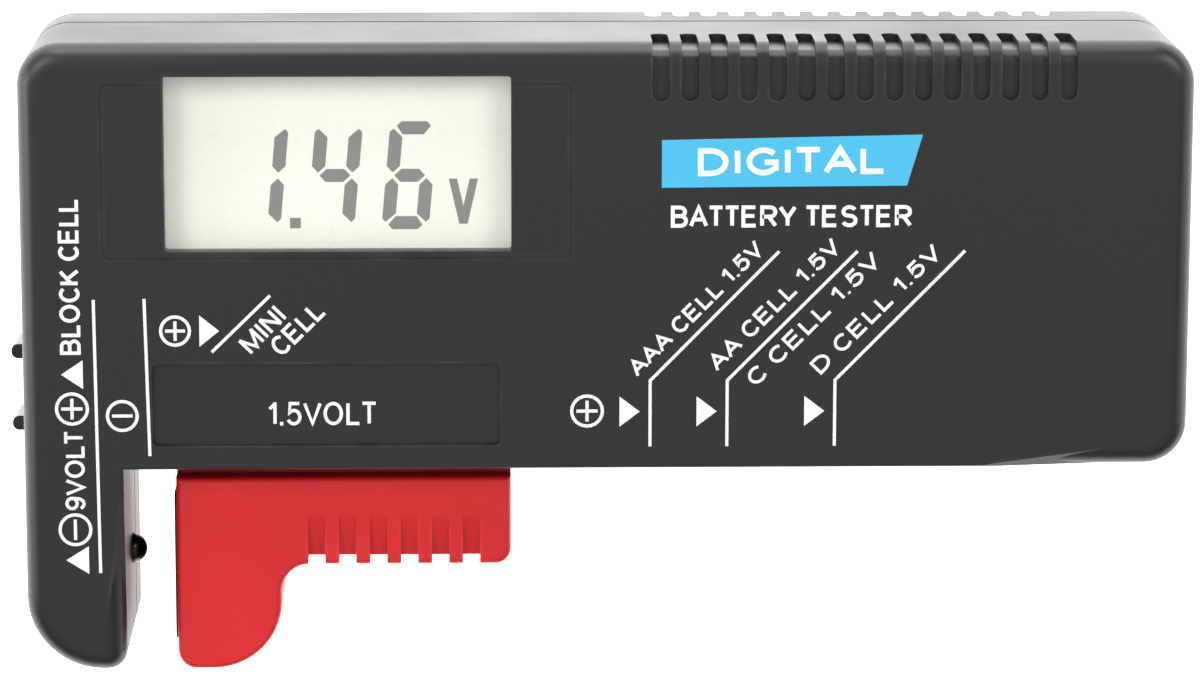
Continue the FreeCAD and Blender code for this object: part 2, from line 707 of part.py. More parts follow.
def slider():
    left = "slider_left"
    right = "slider_left + slider_long"
    leg_right = "slider_left + slider_leg_wide"
    outline = [
        ("x", left, "0"),
        ("y", "slider_high", "0"),
        ("x", right, "slider_end_round"),
        ("y", "slider_rail_low", "slider_crook_round"),
        ("x", leg_right, "slider_leg_round"),
        ("y", "slider_leg_low", "slider_toe_round"),
    ]
    blank = prism("slider_blank", outline, "slider_back", "slider_front")
    points = [
        (left, "slider_high - 5"), (f"{left} + 10", "slider_high"), (right, "slider_high - 4"),
        ("slider_left + slider_long - 8", "slider_rail_low"), (leg_right, "slider_rail_low - 3.2"),
        ("slider_left + 2.6", "slider_leg_low"),
    ]
    edges = [(x, y, height) for x, y in points for height in ("slider_back", "slider_front")]
    soft = rounded("slider_soft", blank, "slider_edge_round", edges)

    teeth = body("slider_teeth")
    teeth.AllowCompound = True
    first, last = "tooth_first - tooth_wide / 2", "tooth_first + tooth_wide / 2"
    low = "slider_rail_low - 1"
    notch = pad(teeth, "tooth_under", rectangle(first, low, last, "tooth_floor"),
                "slider_back - 1", "slider_front + 1")
    pattern(teeth, "tooth_row", [notch], "tooth_count", "tooth_pitch")
    ramps = []
    for i in range(SIZES["tooth_count"]):
        start = f"{first} + {i} * tooth_pitch"
        ramps.append(tooth_ramp(f"tooth_front_{i}", start, "slider_front - tooth_deep", "slider_front",
                                "slider_front + 1"))
        ramps.append(tooth_ramp(f"tooth_back_{i}", start, "slider_back + tooth_deep", "slider_back",
                                "slider_back - 1"))
    grip = cut("slider_grip", soft, [teeth, *ramps])

    web_left, web_right = "slider_left + web_inset", "slider_left + slider_long - web_inset"
    lug_left = f"{web_right} - lug_thick"
    inner = [
        block("slider_shoulder", ("slider_left", "slider_high - 1", "shoulder_back"),
              ("slider_left + slider_long", "-case_tall / 2 - 0.25", "shoulder_front")),
        block("slider_web", (web_left, "-case_tall / 2 - 1", "web_back"), (web_right, "head_low", "web_front")),
        block("slider_head", (web_left, "head_low", "head_back"), (web_right, "head_high", "head_front")),
        block("slider_lug", (lug_left, "head_high", "split_height + 0.1"), (web_right, "lug_high", "web_front")),
    ]
    node(join("slider_solid", [grip, *inner]), "slider")

    plate = body("slider_contact_body")
    pad(plate, "slider_contact_plate", rectangle("contact_low", "middle_height - contact_half",
                                                 "contact_high", "middle_height + contact_half", "1.2"),
        "slider_left - contact_thick", "slider_left", "YZ")
    node(plate, "slider_contact")

    wiper = body("wiper_body")
    pad(wiper, "wiper_leaf", rectangle(f"{web_left} + 9", "head_low + 0.3", f"{web_left} + 19",
                                       "head_high - 0.3", "0.8"), "head_front", "rail_back - fit")
    node(wiper, "slider_wiper")

    node(block("contact_rail_strip", ("rail_left", "-case_tall / 2 + wall", "rail_back"),
               ("rail_right", "head_high", "rail_back + rail_thick")), "contact_rail")


def spring():
    """The return spring's envelope, from its pin to the lug on the slider's head, and the pin."""
    spring_right = "slider_left + slider_long - web_inset - lug_thick"
    coil = rod("spring_coil", "spring_radius", f"{spring_right} - (spring_left) - 0.2",
               ("spring_left + 0.1", "spring_y", "spring_height"), "x")
    node(coil, "return_spring")
    node(rod("pin", "pin_radius", "web_front + 1 - wall", ("spring_left - 1", "spring_y", "wall + 1")),
         "spring_pin")


# ------------------------------------------------------------------------------------ contacts

def contacts():
    inner_left = "-case_long / 2 + wall"
    leg_inner = "-case_long / 2 + leg_wide"
    dome_reach = "dome_reach - dome_radius * 0.8"
    stem = rod("dome_stem", "dome_radius", f"wall + 1 + {dome_reach}",
               (f"{leg_inner} - wall - 1", "dome_y", "middle_height"), "x")
    cap = doc.addObject("Part::Sphere", "dome_cap")
    drive(cap, "Radius", "dome_radius")
    place(cap, (f"{leg_inner} + dome_reach - dome_radius", "dome_y", "middle_height"))
    flange = rod("dome_flange", "dome_radius * 1.7", "0.6",
                 (f"{leg_inner} - wall - 0.6", "dome_y", "middle_height"), "x")
    node(join("dome_solid", [stem, cap, flange]), "leg_contact")

    leaves = []
    for i, side in enumerate((-1, 1)):
        middle = f"clip_y + ({side}) * clip_spread"
        leaves.append(prism(f"clip_leaf_{i}", [
            ("x", "-case_long / 2 - clip_reach", "clip_leaf / 2 - 0.05"),
            ("y", f"{middle} + clip_leaf / 2", "0"),
            ("x", inner_left, "0"),
            ("y", f"{middle} - clip_leaf / 2", "clip_leaf / 2 - 0.05"),
        ], "middle_height - clip_half", "middle_height + clip_half"))
    base = block("clip_base", (inner_left, "clip_y - clip_spread - clip_leaf / 2", "middle_height - clip_half"),
                 (f"{inner_left} + contact_thick", "clip_y + clip_spread + clip_leaf / 2",
                  "middle_height + clip_half"))
    node(join("clip_solid", [*leaves, base]), "nine_volt_positive_contact")

    pad_face = rod("pad_face", "pad_radius", "wall", ("-case_long / 2", "pad_y", "middle_height"), "x")
    pad_flange = rod("pad_flange", "pad_radius + 1", "contact_thick", (inner_left, "pad_y", "middle_height"), "x")
    node(join("pad_solid", [pad_face, pad_flange]), "nine_volt_negative_contact")


def supply():
    """The meter's own cell with the spring and the plate that hold it in its compartment."""
    middle = "(bay_low + bay_high) / 2"
    can = rod("cell_can", "cell_radius", "cell_right - cell_left - nub_long",
              ("cell_left", middle, "cell_height"), "x")
    nub = rod("cell_nub", "nub_radius", "nub_long", ("cell_right - nub_long", middle, "cell_height"), "x")
    node(join("cell_solid", [can, nub]), "supply_cell")

    cone = doc.addObject("Part::Cone", "supply_spring")
    cone.Placement = FreeCAD.Placement(Vector(), FreeCAD.Rotation(Vector(0, 1, 0), 90))
    drive(cone, "Radius1", "cell_radius * 0.8")
    drive(cone, "Radius2", "cell_radius * 0.4")
    drive(cone, "Height", "cell_left - bay_left - contact_thick - 0.1")
    place(cone, ("bay_left + contact_thick", middle, "cell_height"))
    back = block("supply_spring_back", ("bay_left", "bay_low + 0.5", "bay_floor + 0.2"),
                 ("bay_left + contact_thick", "bay_high - 0.5", "split_height + 2"))
    node(join("supply_spring_solid", [cone, back]), "supply_spring_contact")

    plate = body("supply_plate_body")
    pad(plate, "supply_plate", rectangle("bay_low + 0.5", "bay_floor + 0.2", "bay_high - 0.5",
                                         "split_height + 2", "0.8"),
        "cell_right + 0.05", "bay_right", "YZ")
    node(plate, "supply_plate_contact")


# --------------------------------------------------------------------------------------- leads

def lead(label, route):
    """An insulated lead as straight runs joined by tangent arcs."""
    points = [Vector(*point) for point in route]
    edges = []
    start = points[0]
    for before, corner, after in zip(points, points[1:], points[2:]):
        back = (before - corner).normalize()
        onward = (after - corner).normalize()
        reach = 0.45 * min((before - corner).Length, (after - corner).Length)
        half_turn = (math.pi - back.getAngle(onward)) / 2
        radius = reach / math.tan(half_turn)
        print(f"{label}: bend radius {radius:.2f} mm")
        first = corner + back * reach
        last = corner + onward * reach
        centre = corner + (back + onward).normalize() * (radius / math.cos(half_turn))
        middle = centre + (corner - centre).normalize() * radius
        edges.append(Part.LineSegment(start, first).toShape())
        edges.append(Part.Arc(first, middle, last).toShape())
        start = last
    edges.append(Part.LineSegment(start, points[-1]).toShape())
    path = Part.Wire(edges)
    ring = Part.Wire(Part.Circle(points[0], points[1] - points[0], size("lead_radius")).toShape())
    tube = path.makePipeShell([ring], True, True)
    expected = math.pi * size("lead_radius") ** 2 * path.Length
    if abs(tube.Volume - expected) > 0.02 * expected:
        raise RuntimeError(f"{label} has the wrong volume")
    item = doc.addObject("Part::Feature", label + "_tube")
    item.Shape = tube
    node(item, label)


def leads():
    """Five leads, each from a contact to the underside of the board."""
    lead("leg_lead", [(-48.3, -30.6, 14.8), (-49.3, -25.0, 17.4), (-49.0, -17.0, 18.5),
                      (-47.0, -10.0, 18.5), (-42.5, -7.0, 17.75)])
    lead("nine_volt_positive_lead", [(-52.2, -11.2, 15.4), (-51.4, -6.0, 17.0), (-48.5, -1.0, 18.4),
                                     (-44.5, -4.2, 18.3), (-40.0, -5.2, 17.75)])
    lead("nine_volt_negative_lead", [(-51.9, -24.0, 14.2), (-51.6, -20.0, 13.6), (-50.0, -16.0, 13.4),
                                     (-47.5, -9.0, 13.2), (-43.0, -5.0, 14.2), (-41.5, -2.0, 15.05)])
    lead("supply_negative_lead", [(2.9, 1.2, 12.4), (-1.0, 0.6, 13.6), (-6.0, 0.0, 14.2), (-10.0, -1.0, 15.05)])
    lead("supply_positive_lead", [(51.0, 1.9, 12.0), (46.5, 1.2, 14.0), (38.0, 0.4, 15.0), (22.0, -1.2, 15.2),
                                  (8.0, -3.0, 15.0), (-2.0, -4.2, 14.4), (-10.0, -4.8, 15.05)])


# --------------------------------------------------------------------------------- whole object

envelope = case_envelope()
front_shell()
rear_shell()
battery_door()
window_lens()
display()
main_board()
parts_on_board()
screws()
slider()
spring()
contacts()
supply()
leads()
doc.recompute()

for item in doc.Objects:
    if "Invalid" in item.State or "Error" in item.State:
        raise RuntimeError(f"{item.Name} failed: {item.State}")
for item in nodes:
    if item.Shape.isNull() or not item.Shape.isValid():
        raise RuntimeError(f"{item.Label} has no valid shape")

os.makedirs("parts", exist_ok=True)
for item in nodes:
    item.Shape.exportStep(f"parts/{item.Label}.step")
    bounds = item.Shape.BoundBox
    print(f"{item.Label}: {len(item.Shape.Solids)} solid, {item.Shape.Volume:.1f} mm3, "
          f"x {bounds.XMin:.2f}..{bounds.XMax:.2f} y {bounds.YMin:.2f}..{bounds.YMax:.2f} "
          f"z {bounds.ZMin:.2f}..{bounds.ZMax:.2f}")
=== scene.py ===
import math

import bmesh
import bpy
from mathutils import Matrix, Vector


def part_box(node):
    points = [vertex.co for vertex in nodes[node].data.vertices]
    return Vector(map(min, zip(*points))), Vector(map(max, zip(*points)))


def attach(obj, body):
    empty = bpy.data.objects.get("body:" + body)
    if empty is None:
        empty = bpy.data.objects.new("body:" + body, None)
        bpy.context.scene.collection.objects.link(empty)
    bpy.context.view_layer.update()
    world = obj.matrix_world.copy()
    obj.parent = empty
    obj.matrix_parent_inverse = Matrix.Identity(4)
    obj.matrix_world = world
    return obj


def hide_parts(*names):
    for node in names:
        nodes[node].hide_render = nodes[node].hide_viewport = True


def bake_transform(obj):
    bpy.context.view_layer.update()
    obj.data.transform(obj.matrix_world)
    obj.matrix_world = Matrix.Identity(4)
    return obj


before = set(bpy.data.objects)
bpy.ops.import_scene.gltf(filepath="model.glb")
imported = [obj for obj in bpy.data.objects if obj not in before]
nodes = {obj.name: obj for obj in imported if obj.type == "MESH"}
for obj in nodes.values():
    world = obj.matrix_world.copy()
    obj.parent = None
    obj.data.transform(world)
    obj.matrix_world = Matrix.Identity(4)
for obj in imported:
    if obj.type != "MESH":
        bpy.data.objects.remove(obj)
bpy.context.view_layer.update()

MM = 0.001


# ------------------------------------------------------------------ case shells and door
# The case is two shells and a sliding door of charcoal ABS, moulded in a spark-eroded
# tool, so its skin has a fine even grain.  The shells are screwed together from the back,
# and hands have polished the edges a little.

def new_group(name, inputs, outputs):
    """An empty shader group with those number inputs and outputs, and its two end nodes."""
    tree = bpy.data.node_groups.new(name, "ShaderNodeTree")
    for title, value in inputs:
        socket = tree.interface.new_socket(title, in_out="INPUT", socket_type="NodeSocketFloat")
        socket.default_value = value
    for title in outputs:
        tree.interface.new_socket(title, in_out="OUTPUT", socket_type="NodeSocketFloat")
    return tree, tree.nodes.new("NodeGroupInput"), tree.nodes.new("NodeGroupOutput")


def add_node(tree, kind, settings=None, **values):
    """A node with its settings, and numbers or links on its named inputs."""
    made = tree.nodes.new(kind)
    for field, value in (settings or {}).items():
        setattr(made, field, value)
    for title, value in values.items():
        socket = made.inputs[title.replace("_", " ")]
        if isinstance(value, bpy.types.NodeSocket):
            tree.links.new(value, socket)
        else:
            socket.default_value = value
    return made


def blend_values(tree, mask, low, high):
    """A number that goes from low to high as the mask goes from 0 to 1."""
    made = tree.nodes.new("ShaderNodeMapRange")
    tree.links.new(mask, made.inputs["Value"])
    made.inputs["To Min"].default_value = low
    made.inputs["To Max"].default_value = high
    return made.outputs["Result"]


def blend_colours(tree, mask, low, high):
    """A colour that goes from low to high as the mask goes from 0 to 1."""
    made = tree.nodes.new("ShaderNodeMix")
    made.data_type = "RGBA"
    tree.links.new(mask, made.inputs["Factor"])
    for socket, colour in ((made.inputs["A"], low), (made.inputs["B"], high)):
        if isinstance(colour, bpy.types.NodeSocket):
            tree.links.new(colour, socket)
        else:
            socket.default_value = (*colour, 1)
    return made.outputs["Result"]


def make_grain_group():
    """Fine moulded grain, with slow patches where the tool or handling left it smoother."""
    tree, start, end = new_group("moulded grain", [("Grain per metre", 4200), ("Patches per metre", 45)],
                                 ["Height", "Patches"])
    place = add_node(tree, "ShaderNodeTexCoord").outputs["Object"]
    fine = add_node(tree, "ShaderNodeTexNoise", Vector=place, Scale=start.outputs["Grain per metre"],
                    Detail=2.0, Roughness=0.6)
    cells = add_node(tree, "ShaderNodeTexVoronoi", Vector=place, Scale=start.outputs["Grain per metre"])
    both = add_node(tree, "ShaderNodeMath", {"operation": "MULTIPLY_ADD"})
    tree.links.new(cells.outputs["Distance"], both.inputs[0])
    both.inputs[1].default_value = 0.6
    tree.links.new(fine.outputs["Fac"], both.inputs[2])
    slow = add_node(tree, "ShaderNodeTexNoise", Vector=place, Scale=start.outputs["Patches per metre"],
                    Detail=4.0, Roughness=0.55)
    spread = add_node(tree, "ShaderNodeMapRange", Value=slow.outputs["Fac"], From_Min=0.32, From_Max=0.68)
    tree.links.new(both.outputs["Value"], end.inputs["Height"])
    tree.links.new(spread.outputs["Result"], end.inputs["Patches"])
    return tree


def make_edge_group():
    """A mask that is 1 along outer edges, broken up where wear has missed them."""
    tree, start, end = new_group("edge rub", [("Width", 0.0005), ("Breaks per metre", 260)], ["Mask"])
    place = add_node(tree, "ShaderNodeTexCoord").outputs["Object"]
    soft = add_node(tree, "ShaderNodeBevel", {"samples": 4}, Radius=start.outputs["Width"])
    sharp = tree.nodes.new("ShaderNodeNewGeometry")
    turn = add_node(tree, "ShaderNodeVectorMath", {"operation": "DOT_PRODUCT"})
    tree.links.new(soft.outputs["Normal"], turn.inputs[0])
    tree.links.new(sharp.outputs["Normal"], turn.inputs[1])
    edge = add_node(tree, "ShaderNodeMapRange", Value=turn.outputs["Value"], From_Min=0.995, From_Max=0.9)
    breaks = add_node(tree, "ShaderNodeTexNoise", Vector=place, Scale=start.outputs["Breaks per metre"],
                      Detail=5.0)
    gaps = add_node(tree, "ShaderNodeMapRange", Value=breaks.outputs["Fac"], From_Min=0.4, From_Max=0.62)
    worn = add_node(tree, "ShaderNodeMath", {"operation": "MULTIPLY"})
    tree.links.new(edge.outputs["Result"], worn.inputs[0])
    tree.links.new(gaps.outputs["Result"], worn.inputs[1])
    tree.links.new(worn.outputs["Value"], end.inputs["Mask"])
    return tree


grain_group = make_grain_group()
edge_group = make_edge_group()


def use_group(tree, group, **values):
    """The outputs of a shader group placed in a tree, with those inputs."""
    made = add_node(tree, "ShaderNodeGroup", {"node_tree": group}, **values)
    return made.outputs


def new_material(name):
    """A material with its node tree and its Principled shader."""
    material = bpy.data.materials.new(name)
    material.use_nodes = True
    return material, material.node_tree, material.node_tree.nodes["Principled BSDF"]


def moulded_plastic(name, colour, worn_colour, smooth, rough, grain_depth, grain_per_metre=4200.0):
    """Moulded plastic with grain, smoother patches and edges rubbed to a lighter tone."""
    material, tree, shader = new_material(name)
    grain = use_group(tree, grain_group, Grain_per_metre=grain_per_metre)
    edge = use_group(tree, edge_group)["Mask"]
    darker = tuple(part * 0.86 for part in colour)
    body_colour = blend_colours(tree, grain["Patches"], darker, colour)
    tree.links.new(blend_colours(tree, edge, body_colour, worn_colour), shader.inputs["Base Color"])
    tree.links.new(blend_values(tree, grain["Patches"], rough, smooth), shader.inputs["Roughness"])
    bump = add_node(tree, "ShaderNodeBump", Strength=0.5, Distance=grain_depth, Height=grain["Height"])
    tree.links.new(bump.outputs["Normal"], shader.inputs["Normal"])
    return material


def dress(name, material):
    """Give a sub-part its finish."""
    mesh = nodes[name].data
    mesh.materials.clear()
    mesh.materials.append(material)


charcoal = moulded_plastic("charcoal_abs", (0.0080, 0.0080, 0.0090), (0.035, 0.035, 0.038), 0.36, 0.46,
                           0.000012)
for part in ("front_shell", "rear_shell", "battery_door"):
    dress(part, charcoal)
case_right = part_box("front_shell")[1].x


# ------------------------------------------------------------------------ display
# A reflective display glass sits in a white nylon frame and presses a zebra strip on to
# the board.  Its segments are etched on the glass, just under the clear acrylic window
# that is heat-staked behind the opening.

def lcd_backing():
    """Pale green-grey reflector with a very fine speckle, and a faint glow that is painted light, lifting the
    shade that the window's walls cast on it.
    """
    material, tree, shader = new_material("display_reflector")
    place = add_node(tree, "ShaderNodeTexCoord").outputs["Object"]
    fine = add_node(tree, "ShaderNodeTexNoise", Vector=place, Scale=5200.0, Detail=2.0)
    slow = add_node(tree, "ShaderNodeTexNoise", Vector=place, Scale=60.0, Detail=2.0)
    mask = add_node(tree, "ShaderNodeMath", {"operation": "MULTIPLY"})
    tree.links.new(fine.outputs["Fac"], mask.inputs[0])
    tree.links.new(slow.outputs["Fac"], mask.inputs[1])
    colour = blend_colours(tree, mask.outputs["Value"], (0.64, 0.665, 0.575), (0.675, 0.695, 0.61))
    tree.links.new(colour, shader.inputs["Base Color"])
    # painted light: the reflector's own colour glows a little, so the shade from the window's walls falls
    # only faintly on it
    tree.links.new(colour, shader.inputs["Emission Color"])
    shader.inputs["Emission Strength"].default_value = 0.30
    tree.links.new(blend_values(tree, slow.outputs["Fac"], 0.34, 0.48), shader.inputs["Roughness"])
    return material


def segment_film():
    """Etched segment that has turned dark, slightly uneven."""
    material, tree, shader = new_material("display_segment")
    place = add_node(tree, "ShaderNodeTexCoord").outputs["Object"]
    fine = add_node(tree, "ShaderNodeTexNoise", Vector=place, Scale=2600.0, Detail=2.0)
    colour = blend_colours(tree, fine.outputs["Fac"], (0.135, 0.135, 0.122), (0.165, 0.165, 0.150))
    tree.links.new(colour, shader.inputs["Base Color"])
    shader.inputs["Roughness"].default_value = 0.4
    return material


def clear_acrylic():
    """Clear window, almost all see-through, with a few scuffs that dull its shine."""
    material, tree, shader = new_material("window_acrylic")
    place = add_node(tree, "ShaderNodeTexCoord").outputs["Object"]
    scuffs = add_node(tree, "ShaderNodeTexNoise", Vector=place, Scale=900.0, Detail=6.0)
    mask = add_node(tree, "ShaderNodeMapRange", Value=scuffs.outputs["Fac"], From_Min=0.55, From_Max=0.75)
    shader.inputs["Base Color"].default_value = (0.95, 0.97, 0.95, 1)
    tree.links.new(blend_values(tree, mask.outputs["Result"], 0.04, 0.14), shader.inputs["Roughness"])
    tree.links.new(blend_values(tree, mask.outputs["Result"], 0.05, 0.08), shader.inputs["Alpha"])
    return material


dress("lcd_panel", lcd_backing())
dress("window_lens", clear_acrylic())
white_nylon = moulded_plastic("white_nylon", (0.78, 0.78, 0.75), (0.86, 0.86, 0.84), 0.4, 0.55, 0.00001)
dress("lcd_frame", white_nylon)
dress("zebra_strip", moulded_plastic("zebra_rubber", (0.05, 0.05, 0.05), (0.08, 0.08, 0.08), 0.6, 0.75,
                                     0.00001))

display_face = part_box("lcd_panel")[1].z
SEGMENT_WIDE = 1.24 * MM
SEGMENT_GAP = 0.27 * MM
SEGMENT_CUT = 0.42 * MM
MIDDLE_GAPS, SHOULDER_NIPS, END_NIPS = 0.6, 0.8, 1.8
DIGIT_TALL = 10.25 * MM
DIGIT_WIDE = 4.45 * MM
DIGIT_LEAN = math.tan(math.radians(5.2))
DIGIT_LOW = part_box("lcd_panel")[0].y + 4.91 * MM
PRINT_DEEP = 0.02 * MM


def add_slab(target, outline, low, high):
    """Add a flat prism with that outline to a mesh being built."""
    lower = [target.verts.new((x, y, low)) for x, y in outline]
    upper = [target.verts.new((x, y, high)) for x, y in outline]
    area = sum(a[0] * b[1] - b[0] * a[1] for a, b in zip(outline, outline[1:] + outline[:1]))
    if area < 0:
        lower.reverse()
        upper.reverse()
    target.faces.new(upper)
    target.faces.new(lower[::-1])
    count = len(outline)
    for i in range(count):
        after = (i + 1) % count
        target.faces.new((lower[i], lower[after], upper[after], upper[i]))


def finish_piece(name, target, material, body):
    """Turn a built mesh into a piece that rides on a body."""
    mesh = bpy.data.meshes.new(name)
    target.to_mesh(mesh)
    target.free()
    mesh.materials.append(material)
    piece = bpy.data.objects.new(name, mesh)
    bpy.context.scene.collection.objects.link(piece)
    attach(piece, body)
    return piece


def segment_outline(letter):
    """One of a digit's seven bars, upright, from the digit's bottom left corner."""
    wide, tall, thick, gap, nip = DIGIT_WIDE, DIGIT_TALL, SEGMENT_WIDE, SEGMENT_GAP, SEGMENT_CUT
    half, middle = thick / 2, tall / 2
    if letter == "g":
        near, far = half + gap * MIDDLE_GAPS, wide - half - gap * MIDDLE_GAPS
        return [(near, middle), (near + half, middle + half), (far - half, middle + half), (far, middle),
                (far - half, middle - half), (near + half, middle - half)]
    if letter in "ad":
        outer, inner, way = (tall, tall - thick, -1) if letter == "a" else (0, thick, 1)
        near, far = half, wide - half
        return [(near + nip, outer), (far - nip, outer), (far, outer + way * nip), (far - half, inner),
                (near + half, inner), (near, outer + way * nip)]
    outer, inner, centre = (0, thick, half) if letter in "ef" else (wide, wide - thick, wide - half)
    end, way = (tall, 1) if letter in "bf" else (0, -1)
    shoulder = outer + (nip if letter in "ef" else -nip) * SHOULDER_NIPS
    return [(shoulder, end - way * (nip + gap)), (inner, end - way * (thick + gap)),
            (inner, middle + way * (half + gap)), (centre, middle + way * gap),
            (outer, middle + way * (half + gap)), (outer, end - way * (nip * END_NIPS + gap))]


def add_segments(target, left, letters):
    """Add those bars of one digit, leaning with the rest."""
    for letter in letters:
        outline = [(left + x + y * DIGIT_LEAN, DIGIT_LOW + y) for x, y in segment_outline(letter)]
        add_slab(target, outline, display_face - PRINT_DEEP, display_face + PRINT_DEEP)


window_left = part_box("window_lens")[0].x + 1.45 * MM
segments = bmesh.new()
add_segments(segments, window_left + 6.22 * MM, "bc")
add_segments(segments, window_left + 13.15 * MM, "fgbc")
add_segments(segments, window_left + 20.15 * MM, "afgedc")
dot_left, dot_low, dot_size = window_left + 11.6 * MM, DIGIT_LOW + 0.1 * MM, 1.0 * MM
add_slab(segments, [(dot_left, dot_low), (dot_left + dot_size, dot_low),
                    (dot_left + dot_size, dot_low + dot_size), (dot_left, dot_low + dot_size)],
         display_face - PRINT_DEEP, display_face + PRINT_DEEP)
volt_left, volt_low = window_left + 26.5 * MM, DIGIT_LOW + 0.5 * MM
volt_tall, volt_wide, stroke = 4.3 * MM, 2.75 * MM, 0.78 * MM
for side in (-1, 1):
    foot, head = volt_left + volt_wide / 2, volt_left + volt_wide / 2 + side * (volt_wide - stroke) / 2
    add_slab(segments, [(foot - stroke / 2, volt_low), (foot + stroke / 2, volt_low),
                        (head + stroke / 2, volt_low + volt_tall), (head - stroke / 2, volt_low + volt_tall)],
             display_face - PRINT_DEEP, display_face + PRINT_DEEP * (1 + 0.1 * side))
finish_piece("display_segments", segments, segment_film(), "case")


# --------------------------------------------------------------------- board and its parts
# The meter board is green-masked glass epoxy.  A chip, chip resistors, two cans and the
# calibration trimmer are soldered to its lower side.

def circuit_board():
    """Green solder mask, lighter over a pattern of tracks that stands up a little."""
    material, tree, shader = new_material("board_mask")
    place = add_node(tree, "ShaderNodeTexCoord").outputs["Object"]
    tracks = add_node(tree, "ShaderNodeTexBrick", Vector=place, Scale=240.0, Mortar_Size=0.035)
    fine = add_node(tree, "ShaderNodeTexNoise", Vector=place, Scale=1500.0, Detail=3.0)
    green = blend_colours(tree, fine.outputs["Fac"], (0.010, 0.105, 0.035), (0.016, 0.150, 0.055))
    tree.links.new(blend_colours(tree, tracks.outputs["Fac"], green, (0.035, 0.26, 0.10)),
                   shader.inputs["Base Color"])
    tree.links.new(blend_values(tree, fine.outputs["Fac"], 0.25, 0.4), shader.inputs["Roughness"])
    bump = add_node(tree, "ShaderNodeBump", Strength=0.4, Distance=0.00004, Height=tracks.outputs["Fac"])
    tree.links.new(bump.outputs["Normal"], shader.inputs["Normal"])
    return material


dress("main_board", circuit_board())
for part, look, colour, worn_colour, smooth, rough in (
        ("meter_chip", "chip_epoxy", (0.018, 0.018, 0.018), (0.05, 0.05, 0.05), 0.5, 0.65),
        ("board_resistors", "resistor_ceramic", (0.05, 0.045, 0.04), (0.5, 0.5, 0.48), 0.3, 0.5),
        ("calibration_trimmer", "trimmer_blue", (0.03, 0.10, 0.42), (0.1, 0.2, 0.5), 0.35, 0.5)):
    dress(part, moulded_plastic(look, colour, worn_colour, smooth, rough, 0.00001))


def fixed_at_points_tree():
    """Copies of one part at every point of a mesh, each turned by the point's own angle."""
    tree = bpy.data.node_groups.new("fixed at points", "GeometryNodeTree")
    face = tree.interface
    for title, kind in (("Points", "NodeSocketGeometry"), ("Part", "NodeSocketObject"),
                        ("Finish", "NodeSocketMaterial")):
        face.new_socket(title, in_out="INPUT", socket_type=kind)
    face.new_socket("Geometry", in_out="OUTPUT", socket_type="NodeSocketGeometry")
    start, end = tree.nodes.new("NodeGroupInput"), tree.nodes.new("NodeGroupOutput")
    part = tree.nodes.new("GeometryNodeObjectInfo")
    tree.links.new(start.outputs["Part"], part.inputs["Object"])
    angle = tree.nodes.new("GeometryNodeInputNamedAttribute")
    angle.data_type = "FLOAT_VECTOR"
    angle.inputs["Name"].default_value = "turn"
    copies = tree.nodes.new("GeometryNodeInstanceOnPoints")
    tree.links.new(start.outputs["Points"], copies.inputs["Points"])
    tree.links.new(part.outputs["Geometry"], copies.inputs["Instance"])
    tree.links.new(angle.outputs["Attribute"], copies.inputs["Rotation"])
    real = tree.nodes.new("GeometryNodeRealizeInstances")
    tree.links.new(copies.outputs["Instances"], real.inputs["Geometry"])
    coat = tree.nodes.new("GeometryNodeSetMaterial")
    tree.links.new(real.outputs["Geometry"], coat.inputs["Geometry"])
    tree.links.new(start.outputs["Finish"], coat.inputs["Material"])
    tree.links.new(coat.outputs["Geometry"], end.inputs["Geometry"])
    return tree


def worked_metal(name, colour, dull_colour, smooth, rough, streaks, relief=0.000004):
    """Metal with drawn or rolled streaks along X, dulled in patches by handling."""
    material, tree, shader = new_material(name)
    place = add_node(tree, "ShaderNodeTexCoord").outputs["Object"]
    stretch = add_node(tree, "ShaderNodeMapping", Vector=place, Scale=streaks)
    lines = add_node(tree, "ShaderNodeTexNoise", Vector=stretch.outputs["Vector"], Scale=1.0, Detail=3.0)
    patches = use_group(tree, grain_group, Patches_per_metre=180.0)["Patches"]
    tree.links.new(blend_colours(tree, patches, dull_colour, colour), shader.inputs["Base Color"])
    tree.links.new(blend_values(tree, lines.outputs["Fac"], smooth, rough), shader.inputs["Roughness"])
    shader.inputs["Metallic"].default_value = 1.0
    bump = add_node(tree, "ShaderNodeBump", Strength=0.5, Distance=relief, Height=lines.outputs["Fac"])
    tree.links.new(bump.outputs["Normal"], shader.inputs["Normal"])
    return material


dress("board_capacitors", worked_metal("drawn_can", (0.75, 0.75, 0.76), (0.5, 0.5, 0.5), 0.2, 0.4,
                                       (400, 400, 4000)))

# gull-wing legs: eleven along each side of the chip, soldered to the board's lower face
LEG_COUNT, LEG_PITCH, LEG_WIDE, LEG_THICK, LEG_REACH = 11, 0.8 * MM, 0.34 * MM, 0.14 * MM, 0.95 * MM
LEG_BEND, LEG_FOOT = LEG_REACH * 0.45, LEG_REACH * 0.6
LEG_TUCK = 0.05 * MM
chip_low, chip_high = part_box("meter_chip")
chip_centre = (chip_low + chip_high) / 2
tinned = worked_metal("tinned_lead", (0.70, 0.70, 0.68), (0.5, 0.5, 0.48), 0.25, 0.45, (2500, 2500, 2500))
leg = bmesh.new()
drop = chip_high.z - chip_centre.z
leg_spots = [(0, 0), (LEG_BEND, 0), (LEG_FOOT, drop - LEG_THICK), (LEG_REACH, drop - LEG_THICK)]
for spots in zip(leg_spots, leg_spots[1:]):
    ends = []
    for along, height in spots:
        ends.append([leg.verts.new((along, side * LEG_WIDE / 2, height + step * LEG_THICK))
                     for side, step in ((-1, 0), (-1, 1), (1, 1), (1, 0))])
    for k in range(4):
        leg.faces.new((ends[0][k], ends[1][k], ends[1][(k + 1) % 4], ends[0][(k + 1) % 4]))
    leg.faces.new(ends[0])
    leg.faces.new(ends[1][::-1])
bmesh.ops.recalc_face_normals(leg, faces=leg.faces)
